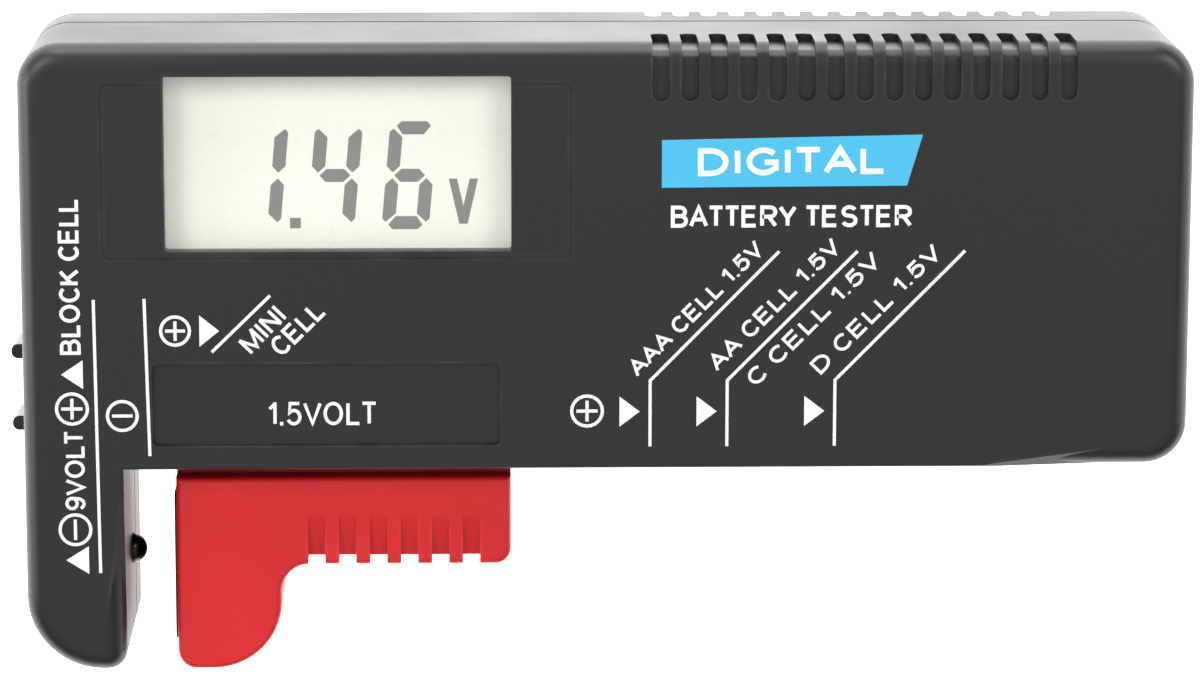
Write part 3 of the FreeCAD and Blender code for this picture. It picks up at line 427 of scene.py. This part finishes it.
leg_mesh = bpy.data.meshes.new("chip_leg")
leg.to_mesh(leg_mesh)
leg.free()
leg_pattern = bpy.data.objects.new("chip_leg", leg_mesh)
leg_points = bpy.data.meshes.new("chip_leg_points")
places, turns = [], []
for quarter in range(4):
    angle = quarter * math.pi / 2
    spin = Matrix.Rotation(angle, 3, "Z")
    half = (chip_high.x - chip_low.x) / 2 - LEG_TUCK
    for i in range(LEG_COUNT):
        places.append(chip_centre + spin @ Vector((half, (i - (LEG_COUNT - 1) / 2) * LEG_PITCH, 0)))
        turns.append((0.0, 0.0, angle))
leg_points.from_pydata([tuple(spot) for spot in places], [], [])
turn_values = leg_points.attributes.new("turn", "FLOAT_VECTOR", "POINT")
for i, values in enumerate(turns):
    turn_values.data[i].vector = values


def run_tree(name, tree, base=None, **values):
    """The plain mesh that a geometry tree makes with those inputs."""
    holder = bpy.data.objects.new(name, base or bpy.data.meshes.new(name))
    bpy.context.scene.collection.objects.link(holder)
    modifier = holder.modifiers.new("build", "NODES")
    modifier.node_group = tree
    for socket in tree.interface.items_tree:
        title = socket.name.replace(" ", "_")
        if socket.in_out == "INPUT" and title in values:
            modifier[socket.identifier] = values[title]
    ready = holder.evaluated_get(bpy.context.evaluated_depsgraph_get())
    mesh = bpy.data.meshes.new_from_object(ready)
    bpy.data.objects.remove(holder)
    return mesh


def seat_piece(name, mesh, body):
    """Turn a ready mesh into a piece that rides on a body."""
    piece = bpy.data.objects.new(name, mesh)
    bpy.context.scene.collection.objects.link(piece)
    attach(piece, body)
    return piece


bpy.context.scene.collection.objects.link(leg_pattern)
fixed_parts = fixed_at_points_tree()
chip_legs = run_tree("chip_legs", fixed_parts, leg_points, Part=leg_pattern, Finish=tinned)
bpy.data.objects.remove(leg_pattern)
seat_piece("chip_legs", chip_legs, "case")


# ------------------------------------------------------------------------------ contacts
# The dome, the two spring leaves and the round pad are pressed from brass and nickel
# plated.  They are riveted or snapped through the case wall from inside.

nickel = worked_metal("nickel_plate", (0.60, 0.57, 0.50), (0.30, 0.28, 0.24), 0.16, 0.36, (3000, 400, 3000))
# nickel painted nearly black: painted shade for the contacts that sit in shadow with the bright table behind
# them
nickel_dark_as_shade = worked_metal("blackened_nickel", (0.060, 0.056, 0.052), (0.030, 0.028, 0.026), 0.16, 0.34,
                           (3000, 400, 3000))
brass = worked_metal("spring_brass", (0.78, 0.56, 0.25), (0.48, 0.32, 0.14), 0.2, 0.4, (300, 4000, 4000))
wire_steel = worked_metal("spring_wire", (0.62, 0.61, 0.59), (0.36, 0.35, 0.33), 0.2, 0.42, (900, 900, 900))
# the dome, the nine-volt contacts and the slider contact take the nickel painted dark as shade
for part in ("leg_contact", "nine_volt_positive_contact", "nine_volt_negative_contact", "slider_contact"):
    dress(part, nickel_dark_as_shade)
dress("supply_plate_contact", nickel)
for part in ("contact_rail", "slider_wiper"):
    dress(part, brass)
dress("spring_pin", wire_steel)


# -------------------------------------------------------------------------------- slider
# The slider is one moulding of signal-red ABS with a ribbed thumb grip.  A web passes
# through the slot in the case, and its head runs behind the wall.

dress("slider", moulded_plastic("signal_red_abs", (0.64, 0.0055, 0.0090), (0.70, 0.030, 0.034), 0.36, 0.46,
                                0.000010, 3600.0))


# --------------------------------------------------------------------------- return spring
# A close-wound tension spring of drawn steel pulls the slider home.  One end hooks on a
# pin in the rear shell and the other on the lug of the slider's head.

def coil_tree():
    """Sweep a round wire along a helix whose radius may change from end to end."""
    tree = bpy.data.node_groups.new("wound wire", "GeometryNodeTree")
    face = tree.interface
    for title in ("Turns", "Length", "First radius", "Last radius", "Wire radius"):
        face.new_socket(title, in_out="INPUT", socket_type="NodeSocketFloat")
    face.new_socket("Finish", in_out="INPUT", socket_type="NodeSocketMaterial")
    face.new_socket("Geometry", in_out="OUTPUT", socket_type="NodeSocketGeometry")
    start, end = tree.nodes.new("NodeGroupInput"), tree.nodes.new("NodeGroupOutput")
    helix = tree.nodes.new("GeometryNodeCurveSpiral")
    helix.inputs["Resolution"].default_value = 18
    for title, source in (("Rotations", "Turns"), ("Height", "Length"), ("Start Radius", "First radius"),
                          ("End Radius", "Last radius")):
        tree.links.new(start.outputs[source], helix.inputs[title])
    ring = tree.nodes.new("GeometryNodeCurvePrimitiveCircle")
    ring.inputs["Resolution"].default_value = 10
    tree.links.new(start.outputs["Wire radius"], ring.inputs["Radius"])
    sweep = tree.nodes.new("GeometryNodeCurveToMesh")
    sweep.inputs["Fill Caps"].default_value = True
    tree.links.new(helix.outputs["Curve"], sweep.inputs["Curve"])
    tree.links.new(ring.outputs["Curve"], sweep.inputs["Profile Curve"])
    smooth = tree.nodes.new("GeometryNodeSetShadeSmooth")
    tree.links.new(sweep.outputs["Mesh"], smooth.inputs["Geometry"])
    real = tree.nodes.new("GeometryNodeRealizeInstances")
    tree.links.new(smooth.outputs["Geometry"], real.inputs["Geometry"])
    coat = tree.nodes.new("GeometryNodeSetMaterial")
    tree.links.new(real.outputs["Geometry"], coat.inputs["Geometry"])
    tree.links.new(start.outputs["Finish"], coat.inputs["Material"])
    tree.links.new(coat.outputs["Geometry"], end.inputs["Geometry"])
    return tree


wound_wire = coil_tree()
spring_low, spring_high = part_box("return_spring")
spring_centre = (spring_low + spring_high) / 2
SPRING_WIRE = 0.22 * MM
SPRING_TURNS = 52.0
spring_radius = (spring_high.y - spring_low.y) / 2 - SPRING_WIRE
spring_mesh = run_tree("return_spring_coil", wound_wire, Turns=SPRING_TURNS,
                       Length=spring_high.x - spring_low.x, First_radius=spring_radius,
                       Last_radius=spring_radius, Wire_radius=SPRING_WIRE, Finish=wire_steel)
spring_mesh.transform(Matrix.Translation((spring_low.x, spring_centre.y, spring_centre.z))
                      @ Matrix.Rotation(math.radians(90), 4, "Y"))
spring_coil = bpy.data.objects.new("return_spring_coil", spring_mesh)
bpy.context.scene.collection.objects.link(spring_coil)
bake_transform(spring_coil)
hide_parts("return_spring")


# ------------------------------------------------------------------- the meter's own cell
# A triple-A cell feeds the meter.  It lies between a conical spring and a plate in a bay
# that the sliding door closes.

def add_lathe(target, profile, start, steps=40):
    """Turn a profile of (along X, radius) round an axis through start."""
    rings = []
    for along, radius in profile:
        ring = []
        for i in range(steps):
            angle = 2 * math.pi * i / steps
            spot = Vector((along, radius * math.cos(angle), radius * math.sin(angle)))
            ring.append(target.verts.new(start + spot))
        rings.append(ring)
    for first, second in zip(rings, rings[1:]):
        for i in range(steps):
            after = (i + 1) % steps
            face = target.faces.new((first[i], first[after], second[after], second[i]))
            face.smooth = True
    target.faces.new(rings[0][::-1])
    target.faces.new(rings[-1])


def sleeve_print():
    """Shrink sleeve: black with a wide copper-coloured band at the positive end."""
    material, tree, shader = new_material("cell_sleeve")
    place = add_node(tree, "ShaderNodeTexCoord").outputs["Object"]
    along = add_node(tree, "ShaderNodeSeparateXYZ", Vector=place)
    band = add_node(tree, "ShaderNodeMapRange", Value=along.outputs["X"], From_Min=cell_high.x - BAND_LONG,
                    From_Max=cell_high.x - BAND_LONG + BAND_BLUR)
    fine = add_node(tree, "ShaderNodeTexNoise", Vector=place, Scale=700.0, Detail=4.0)
    tree.links.new(blend_colours(tree, band.outputs["Result"], (0.015, 0.015, 0.018), (0.50, 0.22, 0.07)),
                   shader.inputs["Base Color"])
    tree.links.new(blend_values(tree, fine.outputs["Fac"], 0.18, 0.34), shader.inputs["Roughness"])
    return material


cell_low, cell_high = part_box("supply_cell")
cell_axis = Vector((cell_low.x, (cell_low.y + cell_high.y) / 2, (cell_low.z + cell_high.z) / 2))
cell_long, cell_radius = cell_high.x - cell_low.x, (cell_high.y - cell_low.y) / 2
CRIMP = 0.5 * MM
BAND_LONG, BAND_BLUR = 14.2 * MM, 0.2 * MM
END_METAL = 0.3 * MM
can_end = cell_long - 0.9 * MM
cell = bmesh.new()
add_lathe(cell, [(0.0, cell_radius * 0.62), (0.05 * MM, cell_radius * 0.66), (0.25 * MM, cell_radius * 0.70),
                 (0.25 * MM, cell_radius * 0.84), (0.0, cell_radius * 0.90),
                 (0.1 * MM, cell_radius - 0.15 * MM), (CRIMP, cell_radius), (can_end - CRIMP, cell_radius),
                 (can_end - 0.1 * MM, cell_radius - 0.2 * MM), (can_end, cell_radius * 0.86),
                 (can_end - 0.35 * MM, cell_radius * 0.78),
                 (can_end - 0.35 * MM, cell_radius * 0.46), (can_end - 0.1 * MM, cell_radius * 0.38),
                 (cell_long - 0.25 * MM, cell_radius * 0.365), (cell_long, cell_radius * 0.30)], cell_axis)
supply = finish_piece("supply_cell_can", cell, sleeve_print(), "case")
supply.data.materials.append(nickel)
for face in supply.data.polygons:
    if face.center.x < cell_low.x + END_METAL or face.center.x > cell_low.x + can_end - END_METAL:
        face.material_index = 1
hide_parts("supply_cell")

plate_low, plate_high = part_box("supply_spring_contact")
CONE_WIRE, CONE_TURNS, PLATE_THICK = 0.35 * MM, 4.5, 0.4 * MM
cone_inset = 1.1 * CONE_WIRE
cone_mesh = run_tree("supply_cone", wound_wire, Turns=CONE_TURNS,
                     Length=cell_low.x - plate_low.x - 2 * cone_inset, First_radius=cell_radius * 0.78,
                     Last_radius=cell_radius * 0.42, Wire_radius=CONE_WIRE, Finish=wire_steel)
cone_mesh.transform(Matrix.Translation((plate_low.x + cone_inset, cell_axis.y, cell_axis.z))
                    @ Matrix.Rotation(math.radians(90), 4, "Y"))
cone_plate = bmesh.new()
cone_plate.from_mesh(cone_mesh)
bmesh.ops.create_cube(cone_plate, size=1.0, matrix=Matrix.Translation(
    (plate_low.x + PLATE_THICK / 2, cell_axis.y, (plate_low.z + plate_high.z) / 2))
    @ Matrix.Diagonal((PLATE_THICK, plate_high.y - plate_low.y, plate_high.z - plate_low.z, 1)))
supply_cone = finish_piece("supply_spring_coil", cone_plate, wire_steel, "case")
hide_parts("supply_spring_contact")


# ------------------------------------------------------------------------- case screws
# Four zinc-plated self-tapping screws with pan heads and cross recesses close the case
# from the back.

zinc = worked_metal("zinc_plate", (0.62, 0.62, 0.60), (0.40, 0.40, 0.39), 0.24, 0.42, (2200, 2200, 2200))
dress("case_screws", zinc)


# --------------------------------------------------------------------- battery door's grip
# Moulded ribs fill the thumb recess at the door's free end, flush with its outer face, so
# that a thumb can push it along.

RIB_COUNT, RIB_PITCH, RIB_LONG, RIB_WIDE, RIB_DEEP = 7, 1.1 * MM, 2.5 * MM, 0.42 * MM, 0.62 * MM
RECESS_FROM_END = 11.25 * MM
RIB_FACE_INSET = 0.02 * MM
door_low, door_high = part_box("battery_door")
rib = bmesh.new()
crest_angles = [-90 + 180 * i / 8 for i in range(9)]
rims = []
for end in (-1, 1):
    rim = [(RIB_WIDE / 2, RIB_DEEP), (-RIB_WIDE / 2, RIB_DEEP)]
    rim += [(RIB_WIDE / 2 * math.sin(math.radians(a)), RIB_WIDE / 2 * (1 - math.cos(math.radians(a))))
            for a in crest_angles]
    rims.append([rib.verts.new((end * RIB_LONG / 2, y, z)) for y, z in rim])
for k in range(len(rims[0])):
    after = (k + 1) % len(rims[0])
    rib.faces.new((rims[0][k], rims[0][after], rims[1][after], rims[1][k]))
rib.faces.new(rims[0])
rib.faces.new(rims[1][::-1])
bmesh.ops.recalc_face_normals(rib, faces=rib.faces)
rib_mesh = bpy.data.meshes.new("thumb_rib")
rib.to_mesh(rib_mesh)
rib.free()
rib_pattern = bpy.data.objects.new("thumb_rib", rib_mesh)
bpy.context.scene.collection.objects.link(rib_pattern)
rib_points = bpy.data.meshes.new("thumb_rib_points")
rib_middle = Vector((case_right - RECESS_FROM_END, (door_low.y + door_high.y) / 2,
                     door_low.z + RIB_FACE_INSET))
rib_points.from_pydata([tuple(rib_middle + Vector((0, (i - (RIB_COUNT - 1) / 2) * RIB_PITCH, 0)))
                        for i in range(RIB_COUNT)], [], [])
rib_points.attributes.new("turn", "FLOAT_VECTOR", "POINT")
thumb_ribs = run_tree("door_thumb_ribs", fixed_parts, rib_points, Part=rib_pattern, Finish=charcoal)
bpy.data.objects.remove(rib_pattern)
seat_piece("door_thumb_ribs", thumb_ribs, "battery_door")


# ----------------------------------------------------------------------------------- leads
# Thin stranded leads in black and red insulation join each contact to the board.

SLEEVE_GRAIN = 0.000004
for part in ("leg_lead", "nine_volt_negative_lead", "supply_negative_lead"):
    dress(part, moulded_plastic(part + "_sleeve", (0.02, 0.02, 0.02), (0.04, 0.04, 0.04), 0.35, 0.5,
                                SLEEVE_GRAIN))
for part in ("nine_volt_positive_lead", "supply_positive_lead"):
    dress(part, moulded_plastic(part + "_sleeve", (0.45, 0.02, 0.02), (0.5, 0.05, 0.05), 0.35, 0.5,
                                SLEEVE_GRAIN))


# ------------------------------------------------------------------------ printing on the face
# The words, polarity signs and cell-length marks are pad-printed on the face in white
# ink, and the badge is a patch of blue ink with white letters over it.

face_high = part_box("front_shell")[1].z
INK_DEEP = 0.02 * MM
INK_HIGH = 0.02 * MM
LABEL_DEEP = 0.5 * MM


def printing_ink(name, colour, thin_colour):
    """Matt ink, a little thinner in fine specks."""
    material, tree, shader = new_material(name)
    place = add_node(tree, "ShaderNodeTexCoord").outputs["Object"]
    specks = add_node(tree, "ShaderNodeTexNoise", Vector=place, Scale=2400.0, Detail=3.0)
    mask = add_node(tree, "ShaderNodeMapRange", Value=specks.outputs["Fac"], From_Min=0.3, From_Max=0.55)
    tree.links.new(blend_colours(tree, mask.outputs["Result"], thin_colour, colour),
                   shader.inputs["Base Color"])
    tree.links.new(blend_values(tree, mask.outputs["Result"], 0.6, 0.42), shader.inputs["Roughness"])
    return material


white_ink = printing_ink("white_ink", (0.86, 0.86, 0.86), (0.79, 0.79, 0.79))
blue_ink = printing_ink("blue_ink", (0.055, 0.460, 0.73), (0.050, 0.440, 0.71))


def bow(centre_x, centre_y, reach_x, reach_y, first, last):
    """Points along part of an oval, between two angles in degrees."""
    steps = max(3, round(abs(last - first) / 15))
    angles = [math.radians(first + (last - first) * i / steps) for i in range(steps + 1)]
    return [(centre_x + reach_x * math.cos(a), centre_y + reach_y * math.sin(a)) for a in angles]


# strokes of each letter as the ruling pen draws them, with a height of 1
LETTERS = {
    "A": [[(0, 0), (0.35, 1), (0.70, 0)], [(0.13, 0.34), (0.57, 0.34)]],
    "B": [[(0.3, 0.53), (0, 0.53), (0, 1), (0.30, 1), *bow(0.32, 0.765, 0.23, 0.235, 90, -90)],
          [(0, 0.53), (0, 0), (0.34, 0), *bow(0.35, 0.265, 0.25, 0.265, -90, 90), (0.3, 0.53)]],
    "C": [bow(0.33, 0.5, 0.33, 0.5, 42, 318)],
    "D": [[(0.2, 0), (0, 0), (0, 1), (0.2, 1), *bow(0.24, 0.5, 0.38, 0.5, 90, -90), (0.2, 0)]],
    "E": [[(0.54, 1), (0, 1), (0, 0), (0.56, 0)], [(0, 0.53), (0.50, 0.53)]],
    "G": [[*bow(0.35, 0.5, 0.35, 0.5, 42, 322), (0.66, 0.2), (0.66, 0.46), (0.38, 0.46)]],
    "I": [[(0, 0), (0, 1)]],
    "K": [[(0, 0), (0, 1)], [(0.58, 1), (0, 0.38)], [(0.21, 0.6), (0.62, 0)]],
    "L": [[(0, 1), (0, 0), (0.50, 0)]],
    "M": [[(0, 0), (0, 1)], [(0, 1), (0.37, 0.05), (0.74, 1)], [(0.74, 1), (0.74, 0)]],
    "N": [[(0, 0), (0, 1)], [(0, 1), (0.58, 0)], [(0.58, 0), (0.58, 1)]],
    "O": [bow(0.36, 0.5, 0.36, 0.5, 0, 360)],
    "R": [[(0, 0), (0, 1), (0.34, 1), *bow(0.36, 0.745, 0.24, 0.255, 90, -90), (0, 0.49)],
          [(0.30, 0.49), (0.61, 0)]],
    "S": [[*bow(0.30, 0.755, 0.27, 0.245, 25, 235), *bow(0.30, 0.265, 0.29, 0.265, 65, -158)]],
    "T": [[(0, 1), (0.58, 1)], [(0.29, 1), (0.29, 0)]],
    "V": [[(0, 1), (0.34, 0), (0.68, 1)]],
    "Y": [[(0, 1), (0.33, 0.42), (0.66, 1)], [(0.33, 0.46), (0.33, 0)]],
    "1": [[(0, 0.74), (0.24, 0.98)], [(0.24, 1.06), (0.24, 0)]],
    "5": [[(0.50, 1), (0.10, 1), (0.05, 0.52), *bow(0.25, 0.33, 0.27, 0.33, 118, -155)]],
    "9": [bow(0.26, 0.70, 0.26, 0.30, 0, 360),
          [(0.52, 0.70), (0.51, 0.42), *bow(0.24, 0.36, 0.26, 0.36, -10, -150)]],
    ".": [[(0, -0.08), (0, 0.09)]],
}
LETTER_GAP, CLOSER, WORD_GAP = 0.29, 0.07, 0.30
# strokes that may cross stand on steps of this height, so that no two faces share a plane
INK_STEP, INK_STEPS = 0.002 * MM, 4


def print_stroke(target, points, wide, lift=0.0, turn=None):
    """A printed line of even width through those points in millimetres, mitred where it turns."""
    spots = [Vector(point) for point in points]
    looped = (spots[0] - spots[-1]).length < 0.001
    if looped:
        spots.pop()
    count, rims = len(spots), []
    for i, spot in enumerate(spots):
        ways = []
        if looped or i > 0:
            ways.append((spot - spots[i - 1]).normalized())
        if looped or i < count - 1:
            ways.append((spots[(i + 1) % count] - spot).normalized())
        way = sum(ways, Vector((0, 0))).normalized()
        across = Vector((-way.y, way.x)) * (wide / 2 / max(0.5, way.dot(ways[0])))
        rims.append((spot + across, spot - across))
    low, high = ink_floor + lift, ink_floor + lift + INK_DEEP + INK_HIGH
    rings = []
    for left, right in rims:
        ring = [(left, low), (left, high), (right, high), (right, low)]
        places = [Vector((spot.x * MM, spot.y * MM, height)) for spot, height in ring]
        rings.append([target.verts.new(turn @ place if turn else place) for place in places])
    for i in range(count if looped else count - 1):
        near, far = rings[i], rings[(i + 1) % count]
        for k in range(4):
            after = (k + 1) % 4
            target.faces.new((near[k], near[after], far[after], far[k]))
    if not looped:
        target.faces.new(rings[0][::-1])
        target.faces.new(rings[-1])


def print_words(target, words, corner, wide, tall, thick, angle=0.0, lift=0.0):
    """Print words whose bottom left corner is at that place on the face, all in millimetres."""
    strokes, along, end = [], 0.0, 0.0
    for letter, following in zip(words, words[1:] + " "):
        if letter == " ":
            along += WORD_GAP
            continue
        shapes = LETTERS[letter]
        strokes += [[(along + x, y) for x, y in shape] for shape in shapes]
        end = along + max(x for shape in shapes for x, y in shape)
        along = end + LETTER_GAP - CLOSER * (letter in "ALTVY") - CLOSER * (following in "ATVY")
    stretch = (wide - thick) / end
    turn = (Matrix.Translation((corner[0] * MM, corner[1] * MM, 0))
            @ Matrix.Rotation(math.radians(angle), 4, "Z")
            @ Matrix.Translation((thick / 2 * MM, thick / 2 * MM, 0)))
    for i, stroke in enumerate(strokes):
        points = [(x * stretch, y * (tall - thick)) for x, y in stroke]
        print_stroke(target, points, thick, lift + (i % INK_STEPS) * INK_STEP, turn)


def print_patch(target, points):
    """A filled patch of ink with those corners in millimetres."""
    add_slab(target, [(x * MM, y * MM) for x, y in points], ink_floor, ink_floor + INK_DEEP + INK_HIGH)


SIGN_WIDE, SIGN_REACH = 0.30, 0.62


def print_sign(target, centre, radius, bars):
    """A circled sign with a bar at each of those angles."""
    print_stroke(target, bow(*centre, radius - SIGN_WIDE / 2, radius - SIGN_WIDE / 2, 0, 360), SIGN_WIDE)
    middle = Vector(centre)
    for i, angle in enumerate(bars):
        way = Vector((math.cos(math.radians(angle)), math.sin(math.radians(angle))))
        reach = way * (radius * SIGN_REACH)
        print_stroke(target, [middle - reach, middle + reach], SIGN_WIDE, i * INK_STEP)


def print_arrow(target, tip, way, long, half):
    """A solid triangle whose tip is there and which points that way."""
    along = Vector((math.cos(math.radians(way)), math.sin(math.radians(way))))
    across = Vector((-along.y, along.x))
    tail = Vector(tip) - along * long
    print_patch(target, [tip, tuple(tail + across * half), tuple(tail - across * half)])


ink_floor = face_high - INK_DEEP
ink = bmesh.new()

# cell-length marks: a short upright run and a slanted one for each cell, with its name
MARK_LOW, MARK_KNEE, MARK_TOP = -7.97, -1.63, 10.7
MARK_WIDE = 0.29
ARROW_GAP, ARROW_MIDDLE = 0.98, -4.60
MARKS = [(4.90, 16.95), (12.16, 24.30), (22.32, 34.40)]
for foot, top in MARKS:
    print_stroke(ink, [(foot, MARK_LOW), (foot, MARK_KNEE), (top, MARK_TOP)], MARK_WIDE)
    print_arrow(ink, (foot - ARROW_GAP, ARROW_MIDDLE), 0, 1.9, 1.45)
NAME_TALL, NAME_STROKE, NAME_SLANT = 1.6, 0.28, 45.5
for words, corner, wide in (("AAA CELL 1.5V", (3.75, -1.35), 17.0), ("AA CELL 1.5V", (11.25, -0.85), 16.6),
                            ("C CELL 1.5V", (14.9, -2.3), 16.8), ("D CELL 1.5V", (21.0, -1.15), 16.2)):
    print_words(ink, words, corner, wide, NAME_TALL, NAME_STROKE, NAME_SLANT)

# polarity signs and the mini-cell mark
for centre, radius, bars in (((-1.04, -4.53), 1.6, (0, 90)), ((-39.66, 3.29), 1.5, (0, 90)),
                             ((-44.72, -4.83), 1.55, (0,)), ((-49.32, -15.80), 1.6, (90,)),
                             ((-49.43, -4.14), 1.6, (0, 90))):
    print_sign(ink, centre, radius, bars)
print_arrow(ink, (-35.54, 3.28), 0, 1.85, 1.5)
print_stroke(ink, [(-36.25, 1.26), (-30.74, 6.64)], MARK_WIDE)
print_words(ink, "MINI", (-32.45, 0.95), 4.85, 2.0, 0.30, 46.0)
print_words(ink, "CELL", (-29.65, 0.72), 6.0, 1.9, 0.31, 45.0)

# the nine-volt column, read from below
print_stroke(ink, [(-47.25, 6.28), (-47.02, -20.02)], MARK_WIDE)
print_stroke(ink, [(-42.51, 6.36), (-42.19, -8.7)], MARK_WIDE)
print_arrow(ink, (-50.39, -0.85), 180, 2.04, 1.38)
print_arrow(ink, (-50.23, -18.75), 180, 2.14, 1.35)
print_words(ink, "9VOLT", (-48.32, -13.9), 7.7, 1.9, 0.30, 90.0)
print_words(ink, "BLOCK CELL", (-48.5, 1.05), 14.9, 1.95, 0.33, 90.0)

# the title under the badge
print_words(ink, "BATTERY TESTER", (6.78, 12.98), 22.6, 2.1, 0.36)
finish_piece("face_printing", ink, white_ink, "case")

# the panel under the display is sunk, and its words with it
ink_floor = face_high - LABEL_DEEP - INK_DEEP
label_ink = bmesh.new()
print_words(label_ink, "1.5VOLT", (-31.08, -5.9), 10.3, 2.25, 0.31)
finish_piece("label_printing", label_ink, white_ink, "case")
ink_floor = face_high - INK_DEEP

badge = bmesh.new()
print_patch(badge, [(5.92, 16.78), (28.86, 16.92), (30.29, 21.74), (5.92, 21.28)])
finish_piece("badge_patch", badge, blue_ink, "case")
badge_ink = bmesh.new()
print_words(badge_ink, "DIGITAL", (9.3, 17.85), 17.6, 2.65, 0.52, 0.6, INK_HIGH * 0.6)
finish_piece("badge_letters", badge_ink, white_ink, "case")


# ------------------------------------------------------------------------ floor, light, camera
# A white light table under a soft dome, with a key light behind and one light at each side.

def table_top():
    """White board that glows evenly."""
    material, tree, shader = new_material("light_table")
    shader.inputs["Base Color"].default_value = (0.9, 0.9, 0.9, 1)
    shader.inputs["Roughness"].default_value = 0.9
    shader.inputs["Emission Color"].default_value = (1, 1, 1, 1)
    shader.inputs["Emission Strength"].default_value = 1.8
    return material


TABLE_HALF = 3.0
table_mesh = bpy.data.meshes.new("table_top")
table_corners = [(x * TABLE_HALF, y * TABLE_HALF, 0) for x, y in ((-1, -1), (1, -1), (1, 1), (-1, 1))]
table_mesh.from_pydata(table_corners, [], [(0, 1, 2, 3)])
table_mesh.materials.append(table_top())
table = bpy.data.objects.new("table_top", table_mesh)
bpy.context.scene.collection.objects.link(table)


DOME_WAY = Vector((0, -0.34, 0.94)).normalized()


def studio_world():
    """Bright overhead and a little in front, dim near the horizon, and plain white behind the object."""
    world = bpy.data.worlds.new("studio")
    world.use_nodes = True
    tree = world.node_tree
    dome = tree.nodes["Background"]
    way = add_node(tree, "ShaderNodeTexCoord").outputs["Generated"]
    near_top = add_node(tree, "ShaderNodeVectorMath", {"operation": "DOT_PRODUCT"})
    tree.links.new(way, near_top.inputs[0])
    near_top.inputs[1].default_value = DOME_WAY
    rise = add_node(tree, "ShaderNodeMapRange", {"interpolation_type": "SMOOTHSTEP"},
                    Value=near_top.outputs["Value"], From_Min=0.62, From_Max=0.94, To_Min=0.05, To_Max=0.86)
    tree.links.new(rise.outputs["Result"], dome.inputs["Strength"])
    dome.inputs["Color"].default_value = (1, 1, 1, 1)
    backdrop = add_node(tree, "ShaderNodeBackground", Color=(1, 1, 1, 1), Strength=1.1)
    seen = add_node(tree, "ShaderNodeLightPath").outputs["Is Camera Ray"]
    both = tree.nodes.new("ShaderNodeMixShader")
    tree.links.new(seen, both.inputs["Fac"])
    tree.links.new(dome.outputs["Background"], both.inputs[1])
    tree.links.new(backdrop.outputs["Background"], both.inputs[2])
    tree.links.new(both.outputs["Shader"], tree.nodes["World Output"].inputs["Surface"])
    return world


bpy.context.scene.world = studio_world()


def soft_light(name, place, size, power):
    """A round softbox of that size in metres and power in watts, facing the object."""
    lamp = bpy.data.lights.new(name, "AREA")
    lamp.shape = "DISK"
    lamp.size = size
    lamp.energy = power
    made = bpy.data.objects.new(name, lamp)
    turn = (-Vector(place)).to_track_quat("-Z", "Y").to_matrix().to_4x4()
    made.matrix_world = Matrix.Translation(place) @ turn
    bpy.context.scene.collection.objects.link(made)


soft_light("back_softbox", (-0.10, 0.78, 0.15), 0.50, 4.3)
soft_light("left_key_softbox", (-0.43, 0.36, 0.58), 0.40, 3.0)
soft_light("right_key_softbox", (0.43, 0.36, 0.58), 0.40, 2.8)
soft_light("left_softbox", (-0.60, 0.02, 0.22), 0.30, 1.7)
soft_light("right_softbox", (0.65, 0.00, 0.22), 0.30, 0.7)

CAMERA_PLACE = Vector((-0.01251, 0.09532, 0.48465))
CAMERA_WAY = Vector((0.02697, -0.19808, -0.97981)).normalized()
CAMERA_UP = Vector((0.00358, 0.98018, -0.19806))
camera = bpy.data.objects.new("camera", bpy.data.cameras.new("camera"))
right = CAMERA_WAY.cross(CAMERA_UP).normalized()
turn = Matrix((right, right.cross(CAMERA_WAY), -CAMERA_WAY)).transposed()
camera.matrix_world = Matrix.Translation(CAMERA_PLACE) @ turn.to_4x4()
camera.data.sensor_width = 36.0
camera.data.lens = 150.15
camera.data.clip_start = 0.01
bpy.context.scene.collection.objects.link(camera)
bpy.context.scene.camera = camera
bpy.context.scene.view_settings.view_transform = "Standard"
